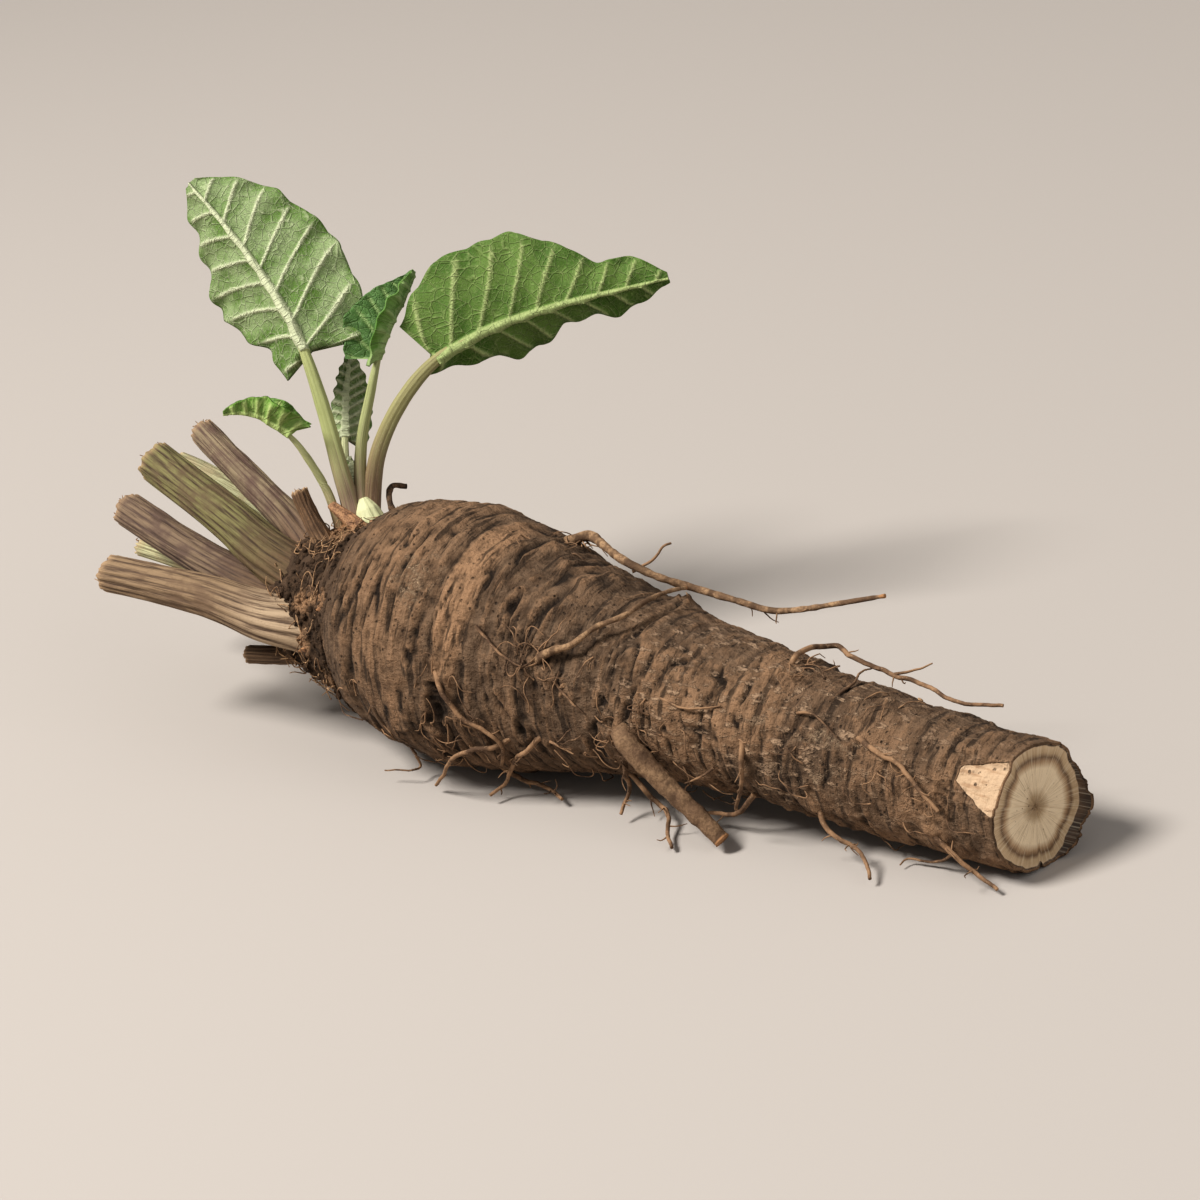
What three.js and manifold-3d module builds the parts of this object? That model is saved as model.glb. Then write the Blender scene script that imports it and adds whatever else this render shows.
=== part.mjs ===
// A freshly dug burdock root, lying on its side: the taproot with its crown, the stubs of last year's
// leaf stalks, young leaves, side roots, rootlets and the soil caked round its neck.
// Millimetres. +X runs along the root from the crown to the cut end, +Z is up, and the origin is the
// point under the shoulder where the root rests.
import * as THREE from "three";
import { mergeVertices } from "three/addons/utils/BufferGeometryUtils.js";
import Module from "manifold-3d";

const wasm = await Module();
wasm.setup();

// ---- driving dimensions ----------------------------------------------------------------------------

const GAP = 0.3; // clearance kept between touching pieces
const CUT_END = 204.5; // where the knife took the tip off
const CUT_SLANT = -7; // degrees that the cut face is turned about Z from square
// The torn lip of bark left standing on the far side of the cut: a bite kept back from the knife.
const LIP = { reach: 12, depth: 20, height: 13, y: 13, z: 10.5 };
const BLADE_THICKNESS = 1.2;
const FAR = 600; // reach of the blocks that trim the taproot

// The taproot's centre line, [x, y, z].
const CENTRE_LINE = [
  [-74, 0, 40], [-60, 0, 39.5], [-45, 0, 38.5], [-20, 0, 38], [0, 0, 37.5], [20, 0.5, 36],
  [40, 1, 34.4], [60, 0.5, 32.4], [80, 0, 30.4], [100, 0, 28.6], [120, 0, 26.4], [140, 0, 23.7],
  [160, 0, 21.4], [180, 0, 19.6], [195, 0, 18.4], [CUT_END + 7, 0, 17.3],
];

// The taproot's radius along x: crown, neck, shoulder, then the long taper.
const GIRTH = [
  [-74, 13], [-71, 18], [-66, 20.5], [-60, 22], [-50, 23.5], [-42, 25.5], [-36, 29], [-28, 33.8],
  [-18, 37], [-6, 38.4], [6, 38.5], [20, 36.6], [40, 31.8], [60, 28], [80, 25.5], [100, 23.4],
  [120, 22], [140, 21], [160, 20], [180, 19], [195, 18.3], [CUT_END + 7, 17.3],
];

// ---- geometry helpers ------------------------------------------------------------------------------

const vector = ([x, y, z]) => new THREE.Vector3(x, y, z);
const radians = THREE.MathUtils.degToRad;

// Straight-line lookup in a table of [key, value] rows.
function lookup(table, key) {
  const next = table.findIndex(([k]) => k >= key);
  if (next === 0) return table[0][1];
  if (next < 0) return table.at(-1)[1];
  const [[k0, v0], [k1, v1]] = [table[next - 1], table[next]];
  return v0 + ((v1 - v0) * (key - k0)) / (k1 - k0);
}

// Rows of [share, radius] for a bent lathe, at even steps.
function profileOf(steps, radiusAt) {
  return Array.from({ length: steps + 1 }, (_, i) => [i / steps, radiusAt(i / steps)]);
}

const centreY = CENTRE_LINE.map(([x, y]) => [x, y]);
const centreZ = CENTRE_LINE.map(([x, , z]) => [x, z]);

// A point off the taproot's skin: x along the root, degrees round from the top towards -Y, and lift.
function offSkin([x, angle, lift]) {
  const reach = lookup(GIRTH, x) + lift;
  const a = radians(angle);
  return [
    x,
    lookup(centreY, x) - reach * Math.sin(a),
    lookup(centreZ, x) + reach * Math.cos(a),
  ];
}

// A lathe whose axis is bent along a route. The profile's rows are [share of the length, radius];
// section(angle, share) scales the radius round the axis, with angle 0 on the side that ref points to.
function bentLathe(route, profile, around, { ref = [0, 0, 1], section = () => 1 } = {}) {
  const curve = new THREE.CatmullRomCurve3(route.map(vector), false, "catmullrom", 0.5);
  const outline = [
    new THREE.Vector2(0, profile[0][0]),
    ...profile.map(([share, radius]) => new THREE.Vector2(radius, share)),
    new THREE.Vector2(0, profile.at(-1)[0]),
  ];
  const geometry = new THREE.LatheGeometry(outline, around);
  const position = geometry.getAttribute("position");
  for (let i = 0; i < position.count; i++) {
    const share = position.getY(i);
    const radius = Math.hypot(position.getX(i), position.getZ(i));
    const angle = Math.atan2(position.getX(i), position.getZ(i));
    const along = curve.getTangentAt(share);
    const side = new THREE.Vector3().crossVectors(along, vector(ref)).normalize();
    const up = new THREE.Vector3().crossVectors(side, along);
    const reach = radius * section(angle, share);
    const point = curve
      .getPointAt(share)
      .addScaledVector(side, reach * Math.sin(angle))
      .addScaledVector(up, reach * Math.cos(angle));
    position.setXYZ(i, point.x, point.y, point.z);
  }
  return geometry;
}

// A closed geometry as a manifold-3d solid.
function solidOf(geometry) {
  const bare = geometry.clone();
  bare.deleteAttribute("normal");
  bare.deleteAttribute("uv");
  const merged = mergeVertices(bare, 1e-3);
  const corners = [];
  for (let i = 0; i < merged.index.count; i += 3) {
    const [a, b, c] = [0, 1, 2].map((k) => merged.index.getX(i + k));
    if (a !== b && b !== c && c !== a) corners.push(a, b, c);
  }
  return new wasm.Manifold(
    new wasm.Mesh({
      numProp: 3,
      vertProperties: merged.getAttribute("position").array,
      triVerts: new Uint32Array(corners),
    }),
  );
}

function geometryOf(solid) {
  const { vertProperties, triVerts } = solid.getMesh();
  const geometry = new THREE.BufferGeometry();
  geometry.setAttribute("position", new THREE.BufferAttribute(vertProperties, 3));
  geometry.setIndex(new THREE.BufferAttribute(triVerts, 1));
  geometry.computeVertexNormals();
  return geometry;
}

// What is left of a solid outside its neighbours, without loose crumbs.
function trimmed(solid, neighbours) {
  const left = neighbours.reduce((body, cutter) => body.subtract(cutter), solid);
  return left.decompose().sort((a, b) => b.volume() - a.volume())[0];
}

// ---- the taproot -----------------------------------------------------------------------------------

const TAPROOT_SIDES = 36;

// Gentle lumps that keep the root from being a turned shape.
function rootSection(angle, share) {
  const lumps = 0.018 * Math.sin(2 * angle + 9 * share) + 0.014 * Math.sin(3 * angle - 14 * share);
  return 1 + lumps;
}

function taprootSolid(clearance) {
  const first = CENTRE_LINE[0][0];
  const length = CENTRE_LINE.at(-1)[0] - first;
  const profile = GIRTH.map(([x, radius]) => [(x - first) / length, radius + clearance]);
  const body = solidOf(bentLathe(CENTRE_LINE, profile, TAPROOT_SIDES, { section: rootSection }));
  const ground = new THREE.BoxGeometry(FAR, FAR, FAR).translate(0, 0, -FAR / 2 - clearance);
  const knife = new THREE.BoxGeometry(FAR, FAR, FAR)
    .translate(FAR / 2, 0, 0)
    .rotateZ(radians(CUT_SLANT))
    .translate(CUT_END + clearance, 0, 0);
  const lip = new THREE.BoxGeometry(LIP.reach, LIP.depth, LIP.height)
    .translate(CUT_END + clearance, LIP.y + LIP.depth / 2, LIP.z);
  return body.subtract(solidOf(ground)).subtract(solidOf(knife).subtract(solidOf(lip)));
}

// ---- leaf stalk stubs ------------------------------------------------------------------------------

// Each stub: its route from inside the crown to the cut, its radius, how far its foot flares, how flat
// the foot is where it clasps the crown, and the side its channel is on.
const STUBS = {
  cut_stalk_1: {
    route: [[-62, 3, 50], [-78, 7, 61], [-103, 12, 74], [-125, 18, 83]],
    radius: 4.4, flare: 1.6, flat: 0.9,
  },
  cut_stalk_2: {
    route: [[-56, -6, 46], [-71, -9.5, 58], [-92, -9, 71], [-124, -4, 82]],
    radius: 6.4, flare: 1.55, flat: 0.85,
  },
  cut_stalk_3: {
    route: [[-62, -8, 40], [-85, -12, 49], [-112, -10, 56], [-146, -3, 62]],
    radius: 5.6, flare: 1.5, flat: 0.85,
  },
  cut_stalk_4: {
    route: [[-50, -14, 39], [-64, -22, 44], [-87, -26, 50], [-129, -29, 53]],
    radius: 5.9, flare: 2.1, flat: 0.65,
  },
  cut_stalk_5: {
    route: [[-60, 3, 38], [-88, 2, 39], [-118, 3, 41], [-157, 6, 43]],
    radius: 3.1, flare: 1.7, flat: 0.8,
  },
  cut_stalk_6: {
    route: [[-62, 8, 44], [-92, 12, 58], [-124, 15, 66], [-141, 16, 69]],
    radius: 5.2, flare: 1.5, flat: 0.8,
  },
  cut_stalk_7: {
    route: [[-54, -8, 30], [-66, -14, 27], [-84, -18, 26]],
    radius: 2.9, flare: 1.7, flat: 0.75,
  },
  cut_stalk_8: {
    route: [[-56, 12, 34], [-74, 20, 34], [-96, 27, 35]],
    radius: 4.6, flare: 1.8, flat: 0.75,
  },
  dry_stub: {
    route: [[-52, -2, 58], [-58, -1, 68], [-62, 0, 77]],
    radius: 2.7, flare: 1.8, flat: 0.8, ref: [1, 0, 0],
  },
};
const STUB_SIDES = 16;
const STUB_STEPS = 6;
const RIBS = 9;
const RIB_DEPTH = 0.05; // share of the radius

function stubSolid({ route, radius, flare, flat, ref = [0, 0, 1] }, clearance) {
  const profile = profileOf(STUB_STEPS, (share) => {
    const foot = (1 - share) ** 3;
    return radius * (1 + (flare - 1) * foot) + clearance;
  });
  const section = (angle, share) => {
    const foot = (1 - share) ** 2;
    const squash = 1 - (1 - flat) * foot * Math.cos(angle) ** 2;
    return squash * (1 + RIB_DEPTH * Math.cos(RIBS * angle));
  };
  return solidOf(bentLathe(route, profile, STUB_SIDES, { ref, section }));
}

// ---- side roots and rootlets -----------------------------------------------------------------------

// Routes are [x, degrees round from the top, mm off the skin]; radii run from the root to the tip.
const SIDE_ROOTS = {
  side_root_thick: {
    route: [[80, 86, -3], [86, 92, 2.5], [97, 112, 5.5], [107, 124, 9.5], [114, 131, 13.2]],
    radii: [3, 2.4],
    sides: 12,
  },
  side_root_long: {
    route: [
      [31, -30, -1], [37, -34, 4], [46, -29, 4.4], [54, -24, 4.6], [62, -22, 4.8], [70, -26, 4.4],
      [79, -38, 5], [93, -40, 6.4], [105, -39, 7.4], [115, -38, 10.6], [127, -38, 16], [142, -37, 22.7],
    ],
    radii: [1.25, 0.6],
    sides: 8,
  },
  side_root_crossing: {
    route: [
      [52, 60, -1], [56, 54, 1.4], [60, 49, 2.1], [65, 44, 3], [70, 31, 3.4], [76, 18, 3.7],
      [78, -1, 3.8], [79, -16, 4.2], [78, -30, 4.4],
    ],
    radii: [0.85, 0.6],
    sides: 7,
  },
};

const ROOTLETS = [
  [[20, 75, -1], [24, 84, 1.6], [29, 96, 2], [35, 102, 2.2], [38, 112, 2.2], [33, 126, 3]],
  [[51, 106, -1], [46, 113, 2], [38, 124, 2.4], [30, 138, 5], [27, 136, 10]],
  [[40, 110, -1], [35, 113, 2], [27, 114, 3], [20, 119, 4], [12, 130, 5.5], [5, 138, 8]],
  [[24, 136, -1], [30, 146, 3], [39, 147, 5.4], [50, 141, 9]],
  [[82, 97, -1], [79, 118, 2.2], [77, 130, 2.6], [74, 139, 5.5], [74, 138, 11]],
  [[122, 66, -1], [124, 84, 2], [123, 99, 2.6], [117, 124, 4.6]],
  [[121, 122, -1], [114, 137, 3.4], [107, 142, 5], [98, 144, 6.6]],
  [[73, 138, -1], [80, 142, 4], [88, 141, 8], [95, 133, 15], [100, 129, 19]],
  [[145, 112, -1], [147, 119, 2.6], [151, 124, 4.4], [159, 126, 6.2], [166, 124, 13]],
  [[158, 40, -1], [166, 47, 2.1], [175, 52, 2.3], [182, 65, 2.3], [188, 77, 2]],
  [[181, 103, -1], [189, 116, 1.9], [195, 127, 3.6], [202, 131, 6.6]],
  [
    [127, 8, -1], [127, -12, 2.4], [130, -34, 4.6], [138, -31, 4], [150, -36, 3],
    [162, -35, 3.2], [172, -28, 2], [180, -33, 3], [187, -37, 5],
  ],
];
const ROOTLET_RADII = [0.75, 0.55];
const ROOTLET_SIDES = 5;

function rootSolid({ route, radii: [thick, thin], sides }, clearance) {
  const steps = 2 * (route.length - 1);
  const profile = profileOf(steps, (share) => thick + (thin - thick) * share + clearance);
  return solidOf(bentLathe(route.map(offSkin), profile, sides, { ref: [0.2, -0.5, 1] }));
}

// ---- leaves ----------------------------------------------------------------------------------------

// Each leaf: its stalk's route and radii, the midrib's points after the stalk, the way its upper face
// looks, how far its base lobes reach back, and its two halves. A half has its width in rows of [share
// of the blade's length, mm], the angle it folds up by at the midrib, and the further angle it curls
// through by its margin, both in degrees and towards the upper face.
const LEAVES = {
  leaf_large: {
    stalk: [[-52, 9, 52], [-54, 12, 66], [-56, 13, 80], [-60.5, 16, 98], [-66.5, 19, 115]],
    radii: [3.3, 1.8],
    midrib: [[-73, 21, 126], [-85, 23, 141], [-97, 24, 154], [-109, 25, 165]],
    face: [-0.6, 0.7, -0.3],
    lobe: 5,
    left: {
      widths: [[0, 19], [0.15, 23.5], [0.35, 25.5], [0.5, 23.5], [0.7, 19], [0.88, 11], [1, 1]],
      fold: 5,
      curl: 15,
    },
    right: {
      widths: [[0, 12], [0.15, 14], [0.3, 21], [0.5, 25], [0.65, 19], [0.8, 12], [0.9, 9], [1, 1]],
      fold: 25,
      curl: 20,
    },
  },
  leaf_arching: {
    stalk: [[-47, 12, 54], [-50, 17, 66], [-47, 22, 82], [-41, 31, 96], [-33, 42, 106]],
    radii: [2.9, 1.9],
    midrib: [[-20, 54, 112], [-3, 66, 116], [12, 76, 118], [28, 86, 120]],
    face: [-0.6, 0.65, -0.1],
    lobe: 6,
    left: {
      widths: [[0, 4], [0.15, 9], [0.3, 17], [0.42, 14], [0.55, 9], [0.75, 10], [0.88, 6], [1, 1]],
      fold: 25,
      curl: 25,
    },
    right: {
      widths: [[0, 14], [0.1, 22], [0.2, 27], [0.45, 26], [0.6, 17], [0.72, 9.5], [0.86, 9.5], [1, 1]],
      fold: 5,
      curl: 25,
    },
  },
  leaf_cupped: {
    stalk: [[-48, 12, 56], [-52, 15, 68], [-53, 21, 84], [-51, 28, 99], [-50, 33, 108]],
    radii: [2.4, 1.3],
    midrib: [[-49, 37, 114], [-48, 43, 120], [-47, 49, 125], [-48, 54, 129]],
    face: [0.1, -0.83, 0.4],
    lobe: 3,
    left: { widths: [[0, 10], [0.3, 14], [0.55, 11], [0.8, 6], [1, 1]], fold: 15, curl: 30 },
    right: { widths: [[0, 5], [0.3, 8.5], [0.55, 8.5], [0.8, 5], [1, 1]], fold: 60, curl: 40 },
  },
  leaf_pleated: {
    stalk: [[-54, 12, 56], [-60, 17, 66], [-65, 23, 75], [-68, 28, 82]],
    radii: [1.8, 1.2],
    midrib: [[-70, 32, 87], [-72, 36, 93], [-73, 40, 99], [-74, 43, 104]],
    face: [-0.8, 0.4, -0.2],
    lobe: 2,
    left: { widths: [[0, 8], [0.25, 11], [0.6, 11.5], [0.8, 6.5], [1, 1]], fold: 20, curl: 20 },
    right: { widths: [[0, 4], [0.3, 6], [0.6, 4.5], [0.8, 3.5], [1, 1]], fold: 45, curl: 20 },
  },
  leaf_low: {
    stalk: [[-52, 4, 56], [-56, 7, 67], [-59, 8, 75], [-62, 6, 86], [-65, 4, 93]],
    radii: [1.6, 1.1],
    midrib: [[-68, 2, 96.5], [-72, 0, 100], [-76, -4, 102.5], [-79, -8, 103.5]],
    face: [-0.3, -0.1, 0.9],
    lobe: 4,
    left: { widths: [[0, 7], [0.35, 9.5], [0.6, 6.5], [0.8, 4], [1, 1]], fold: 60, curl: 20 },
    right: { widths: [[0, 7], [0.35, 8.5], [0.6, 6], [0.8, 4], [1, 1]], fold: 45, curl: 20 },
  },
  leaf_bud: {
    stalk: [[-52, 14, 58], [-56, 18, 66], [-58, 19, 71]],
    radii: [1.4, 0.9],
    midrib: [[-59, 20, 73], [-60, 21, 76], [-61, 22, 79]],
    face: [-0.7, 0.5, -0.2],
    lobe: 1,
    left: { widths: [[0, 2.5], [0.4, 3.5], [1, 0.6]], fold: 45, curl: 20 },
    right: { widths: [[0, 3], [0.4, 4.5], [1, 0.6]], fold: 45, curl: 20 },
  },
};
const BLADE_STEPS = { across: 8, along: 8 };
const BLADE_TIP = 0.985; // share of the midrib at which the blade ends bluntly
const STALK_SIDES = 8;
const STALK_STEPS = 7;
const STALK_REF = [1, 0, 0.2];

// Where the blade lies at a share (-1 to 1) of its width across the midrib: how far out, how far
// towards the upper face, and the angle it has turned through.
function acrossBlade({ left, right }, across, share) {
  const half = across < 0 ? left : right;
  const width = lookup(half.widths, share);
  const [fold, curl] = [radians(half.fold), radians(half.curl)];
  const turned = fold + curl * Math.abs(across);
  return {
    out: (Math.sign(across) * width * (Math.sin(turned) - Math.sin(fold))) / curl,
    lift: (width * (Math.cos(fold) - Math.cos(turned))) / curl,
    turned: Math.sign(across) * turned,
  };
}

function bladeSolid(leaf) {
  const { stalk, midrib, face, lobe } = leaf;
  const points = [stalk.at(-1), ...midrib].map(vector);
  const curve = new THREE.CatmullRomCurve3(points, false, "catmullrom", 0.5);
  const grid = new THREE.BoxGeometry(2, 1, 1, BLADE_STEPS.across, BLADE_STEPS.along, 1);
  const position = grid.getAttribute("position");
  for (let i = 0; i < position.count; i++) {
    const across = position.getX(i);
    const share = Math.min(position.getY(i) + 0.5, BLADE_TIP);
    const along = curve.getTangentAt(share);
    const side = new THREE.Vector3().crossVectors(along, vector(face)).normalize();
    const up = new THREE.Vector3().crossVectors(side, along);
    const { out, lift, turned } = acrossBlade(leaf, across, share);
    const skin = position.getZ(i) * BLADE_THICKNESS;
    const point = curve
      .getPointAt(share)
      .addScaledVector(along, -lobe * across ** 2 * (1 - share) ** 3)
      .addScaledVector(side, out - skin * Math.sin(turned))
      .addScaledVector(up, lift + skin * Math.cos(turned));
    position.setXYZ(i, point.x, point.y, point.z);
  }
  return solidOf(grid);
}

function stalkSolid({ stalk, radii: [thick, thin], midrib }, clearance) {
  const radiusAt = (share) => thin + (thick - thin) * (1 - share) ** 1.5 + clearance;
  const route = [...stalk, midrib[0]];
  return solidOf(bentLathe(route, profileOf(STALK_STEPS, radiusAt), STALK_SIDES, { ref: STALK_REF }));
}

// ---- the shoot's base, dry remains and soil --------------------------------------------------------

const SHOOT_BASE = {
  route: [[-42, 11, 50], [-47, 13, 60], [-51, 15, 69]],
  radii: [6.5, 4.2],
  sides: 14,
};
const DRY_PIECES = {
  dry_scale: {
    route: [[-34, 2, 60], [-43, 3, 66.5], [-52, 3, 72]],
    radii: [3, 1.6],
    sides: 8,
  },
  dry_tendril: {
    route: [[-40, 18, 56], [-45, 20, 66], [-47, 24, 69.5], [-45, 28, 68]],
    radii: [1.1, 0.8],
    sides: 7,
  },
};
const TUBE_STEPS = 6;
const SOIL = { from: -58, to: -33, base: 0.6, depth: 2.6, stations: 5, sides: 22 };

function plainTube({ route, radii: [thick, thin], sides }, clearance) {
  const profile = profileOf(TUBE_STEPS, (share) => thick + (thin - thick) * share + clearance);
  return solidOf(bentLathe(route, profile, sides, { ref: STALK_REF }));
}

// A collar of soil round the neck, thickest in its middle.
function soilSolid(clearance) {
  const along = (share) => SOIL.from + (SOIL.to - SOIL.from) * share;
  const profile = profileOf(SOIL.stations, (share) => {
    const bulge = SOIL.base + SOIL.depth * Math.sin(Math.PI * share);
    return lookup(GIRTH, along(share)) + bulge + clearance;
  });
  const route = profile.map(([share]) => {
    const x = along(share);
    return [x, lookup(centreY, x), lookup(centreZ, x)];
  });
  return solidOf(bentLathe(route, profile, SOIL.sides));
}

// ---- the whole plant -------------------------------------------------------------------------------

const MATERIALS = {
  bark: { color: 0x5b4636, roughness: 0.9 },
  soil: { color: 0x3a2b20, roughness: 1 },
  side_root: { color: 0x6e5138, roughness: 0.85 },
  cut_stalk: { color: 0x7a6a52, roughness: 0.85 },
  dry_scale: { color: 0x6f4f36, roughness: 0.9 },
  shoot: { color: 0xb9b48f, roughness: 0.6 },
  leaf: { color: 0x5f8a3c, roughness: 0.6 },
};

const plant = new THREE.Group();

function addPiece(name, solid, material) {
  const finish = new THREE.MeshStandardMaterial({ ...MATERIALS[material], metalness: 0 });
  const mesh = new THREE.Mesh(geometryOf(solid), finish);
  mesh.name = name;
  plant.add(mesh);
}

addPiece("taproot", taprootSolid(0), "bark");

// Every later piece is trimmed by the grown shapes of those before it, so nothing overlaps.
const grown = [taprootSolid(GAP)];
function addTrimmed(name, make, material) {
  addPiece(name, trimmed(make(0), grown), material);
  grown.push(make(GAP));
}

addTrimmed("shoot_base", (clearance) => plainTube(SHOOT_BASE, clearance), "shoot");
for (const [name, stub] of Object.entries(STUBS)) {
  const material = name === "dry_stub" ? "dry_scale" : "cut_stalk";
  addTrimmed(name, (clearance) => stubSolid(stub, clearance), material);
}
for (const [name, leaf] of Object.entries(LEAVES)) {
  addTrimmed(name, (clearance) => stalkSolid(leaf, clearance).add(bladeSolid(leaf)), "leaf");
}
for (const [name, piece] of Object.entries(DRY_PIECES)) {
  addTrimmed(name, (clearance) => plainTube(piece, clearance), "dry_scale");
}
for (const [name, root] of Object.entries(SIDE_ROOTS)) {
  addTrimmed(name, (clearance) => rootSolid(root, clearance), "side_root");
}
ROOTLETS.forEach((route, i) => {
  const rootlet = { route, radii: ROOTLET_RADII, sides: ROOTLET_SIDES };
  addTrimmed(`rootlet_${i + 1}`, (clearance) => rootSolid(rootlet, clearance), "side_root");
});
addTrimmed("crown_soil", soilSolid, "soil");

export default plant;
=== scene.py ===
"""A freshly dug burdock root, lying on its side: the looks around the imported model.

Shapes are worked out in millimetres, in the model's own axes, and turned into metres when a mesh is
made. Angles round the root run in degrees from the top towards -Y.
"""
import math

import bpy
import numpy as np
from mathutils import Matrix, Vector

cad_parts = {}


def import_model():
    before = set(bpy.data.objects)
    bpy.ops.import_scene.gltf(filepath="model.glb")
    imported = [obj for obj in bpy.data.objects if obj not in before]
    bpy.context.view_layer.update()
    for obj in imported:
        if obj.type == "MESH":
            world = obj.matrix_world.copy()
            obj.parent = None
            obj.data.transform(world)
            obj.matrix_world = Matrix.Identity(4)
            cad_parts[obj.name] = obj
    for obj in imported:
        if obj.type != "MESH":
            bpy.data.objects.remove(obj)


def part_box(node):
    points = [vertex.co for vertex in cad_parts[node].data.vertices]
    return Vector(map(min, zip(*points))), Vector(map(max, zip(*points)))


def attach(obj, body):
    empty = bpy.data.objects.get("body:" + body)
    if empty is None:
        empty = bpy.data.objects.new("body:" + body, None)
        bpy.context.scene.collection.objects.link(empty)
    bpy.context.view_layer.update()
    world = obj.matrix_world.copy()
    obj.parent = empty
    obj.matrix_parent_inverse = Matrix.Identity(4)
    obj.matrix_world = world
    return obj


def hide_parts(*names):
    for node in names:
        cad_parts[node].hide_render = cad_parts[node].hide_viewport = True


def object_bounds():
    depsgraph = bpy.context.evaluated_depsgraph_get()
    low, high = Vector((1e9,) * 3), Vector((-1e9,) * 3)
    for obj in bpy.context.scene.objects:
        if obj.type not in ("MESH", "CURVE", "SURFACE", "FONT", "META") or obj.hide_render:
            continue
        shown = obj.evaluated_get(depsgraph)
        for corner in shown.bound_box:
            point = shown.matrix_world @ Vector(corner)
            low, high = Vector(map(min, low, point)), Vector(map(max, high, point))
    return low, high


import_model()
CAD_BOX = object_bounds()

MM = 0.001
BODY = "root"


# ---- noise -------------------------------------------------------------------------------------------

def lattice(cell, seed):
    """A settled random number from -1 to 1 for each whole-number cell."""
    x, y, z = (cell[..., k].astype(np.int64) for k in range(3))
    mixed = (x * 374761393 + y * 668265263 + z * 1440662683 + seed * 974634777) & 0xFFFFFFFF
    mixed = ((mixed ^ (mixed >> 13)) * 1274126177) & 0xFFFFFFFF
    return ((mixed ^ (mixed >> 16)) & 0xFFFF) / 32767.5 - 1


def noise(points, size, seed=0):
    """Smooth noise from -1 to 1, with features of about that size in mm (one, or one for each axis)."""
    scaled = points / np.asarray(size, float)
    cell = np.floor(scaled)
    part = scaled - cell
    part = part * part * (3 - 2 * part)
    total = 0
    for corner in np.ndindex(2, 2, 2):
        weight = np.prod(np.where(corner, part, 1 - part), axis=-1)
        total = total + weight * lattice(cell + corner, seed)
    return total


def layered(points, size, seed=0, octaves=3):
    """Noise with finer noise on top."""
    size = np.asarray(size, float)
    layers = [noise(points, size / 2**k, seed + k) / 2**k for k in range(octaves)]
    return sum(layers) / 1.5


def between(low, high, value):
    """A smooth step from 0 at low to 1 at high."""
    share = np.clip((value - low) / (high - low), 0, 1)
    return share * share * (3 - 2 * share)


def bump(value, centre, width):
    return np.exp(-(((value - centre) / width) ** 2))


# ---- curves, grids and meshes ------------------------------------------------------------------------

def unit(vectors):
    return vectors / np.linalg.norm(vectors, axis=-1, keepdims=True)


def spline(points, steps_per_span=16):
    """A Catmull-Rom curve through the points, as a function of the share of its length that gives the
    places and the directions there."""
    knots = np.array(points, float)
    knots = np.vstack([2 * knots[0] - knots[1], knots, 2 * knots[-1] - knots[-2]])
    t = np.linspace(0, 1, steps_per_span, endpoint=False)[:, None]
    spans = []
    for a, b, c, d in zip(knots, knots[1:], knots[2:], knots[3:]):
        spans.append(0.5 * (2 * b + (c - a) * t + (2 * a - 5 * b + 4 * c - d) * t**2
                            + (3 * b - a - 3 * c + d) * t**3))
    path = np.vstack([*spans, knots[-2:-1]])
    reach = np.concatenate([[0], np.cumsum(np.linalg.norm(np.diff(path, axis=0), axis=1))])

    def at(share):
        length = np.asarray(share, float) * reach[-1]

        def place(distance):
            distance = np.clip(distance, 0, reach[-1])
            return np.stack([np.interp(distance, reach, path[:, k]) for k in range(3)], -1)

        step = reach[-1] * 0.01
        return place(length), unit(place(length + step) - place(length - step))

    at.length = reach[-1]
    return at


def frames(along, ref):
    """The side and up directions of a section that looks along a curve."""
    side = unit(np.cross(along, np.asarray(ref, float)))
    return side, np.cross(side, along)


class Grid:
    """Rows of points joined into quads, each row closing on itself."""

    def __init__(self, points, attributes=None):
        self.rows, self.columns = points.shape[:2]
        self.points = points
        self.attributes = attributes or {}

    def faces(self):
        row = np.arange(self.rows - 1)[:, None] * self.columns
        column = np.arange(self.columns)[None, :]
        ahead = (column + 1) % self.columns
        corners = [row + column, row + ahead, row + self.columns + ahead, row + self.columns + column]
        return np.stack(np.broadcast_arrays(*corners), -1).reshape(-1, 4)


def solid(grid, uv=None, material=0, cut_from=None):
    """A closed shape from a grid of rings, with a point in the middle of each end; rows from cut_from on
    take the next material."""
    count = grid.rows * grid.columns
    middles = np.array([grid.points[0].mean(0), grid.points[-1].mean(0)])
    ring = np.arange(grid.columns)
    ahead = (ring + 1) % grid.columns
    start = np.stack([ahead, ring, np.full_like(ring, count)], -1)
    last = (grid.rows - 1) * grid.columns
    end = np.stack([last + ring, last + ahead, np.full_like(ring, count + 1)], -1)
    body = grid.faces()
    in_cut = np.zeros(len(body) + len(start) + len(end), int)
    if cut_from is not None:
        in_cut[cut_from * grid.columns:len(body)] = 1
        in_cut[len(body) + len(start):] = 1
    if uv is None:
        uv = np.zeros((grid.rows, grid.columns, 2))
    return {
        "points": np.vstack([grid.points.reshape(-1, 3), middles]),
        "faces": [*body.tolist(), *start.tolist(), *end.tolist()],
        "attributes": {
            key: np.concatenate([values.ravel(), [values[0].mean(), values[-1].mean()]])
            for key, values in grid.attributes.items()
        },
        "uv": np.vstack([uv.reshape(-1, 2), uv[0].mean(0), uv[-1].mean(0)]),
        "material": in_cut + material,
    }


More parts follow.
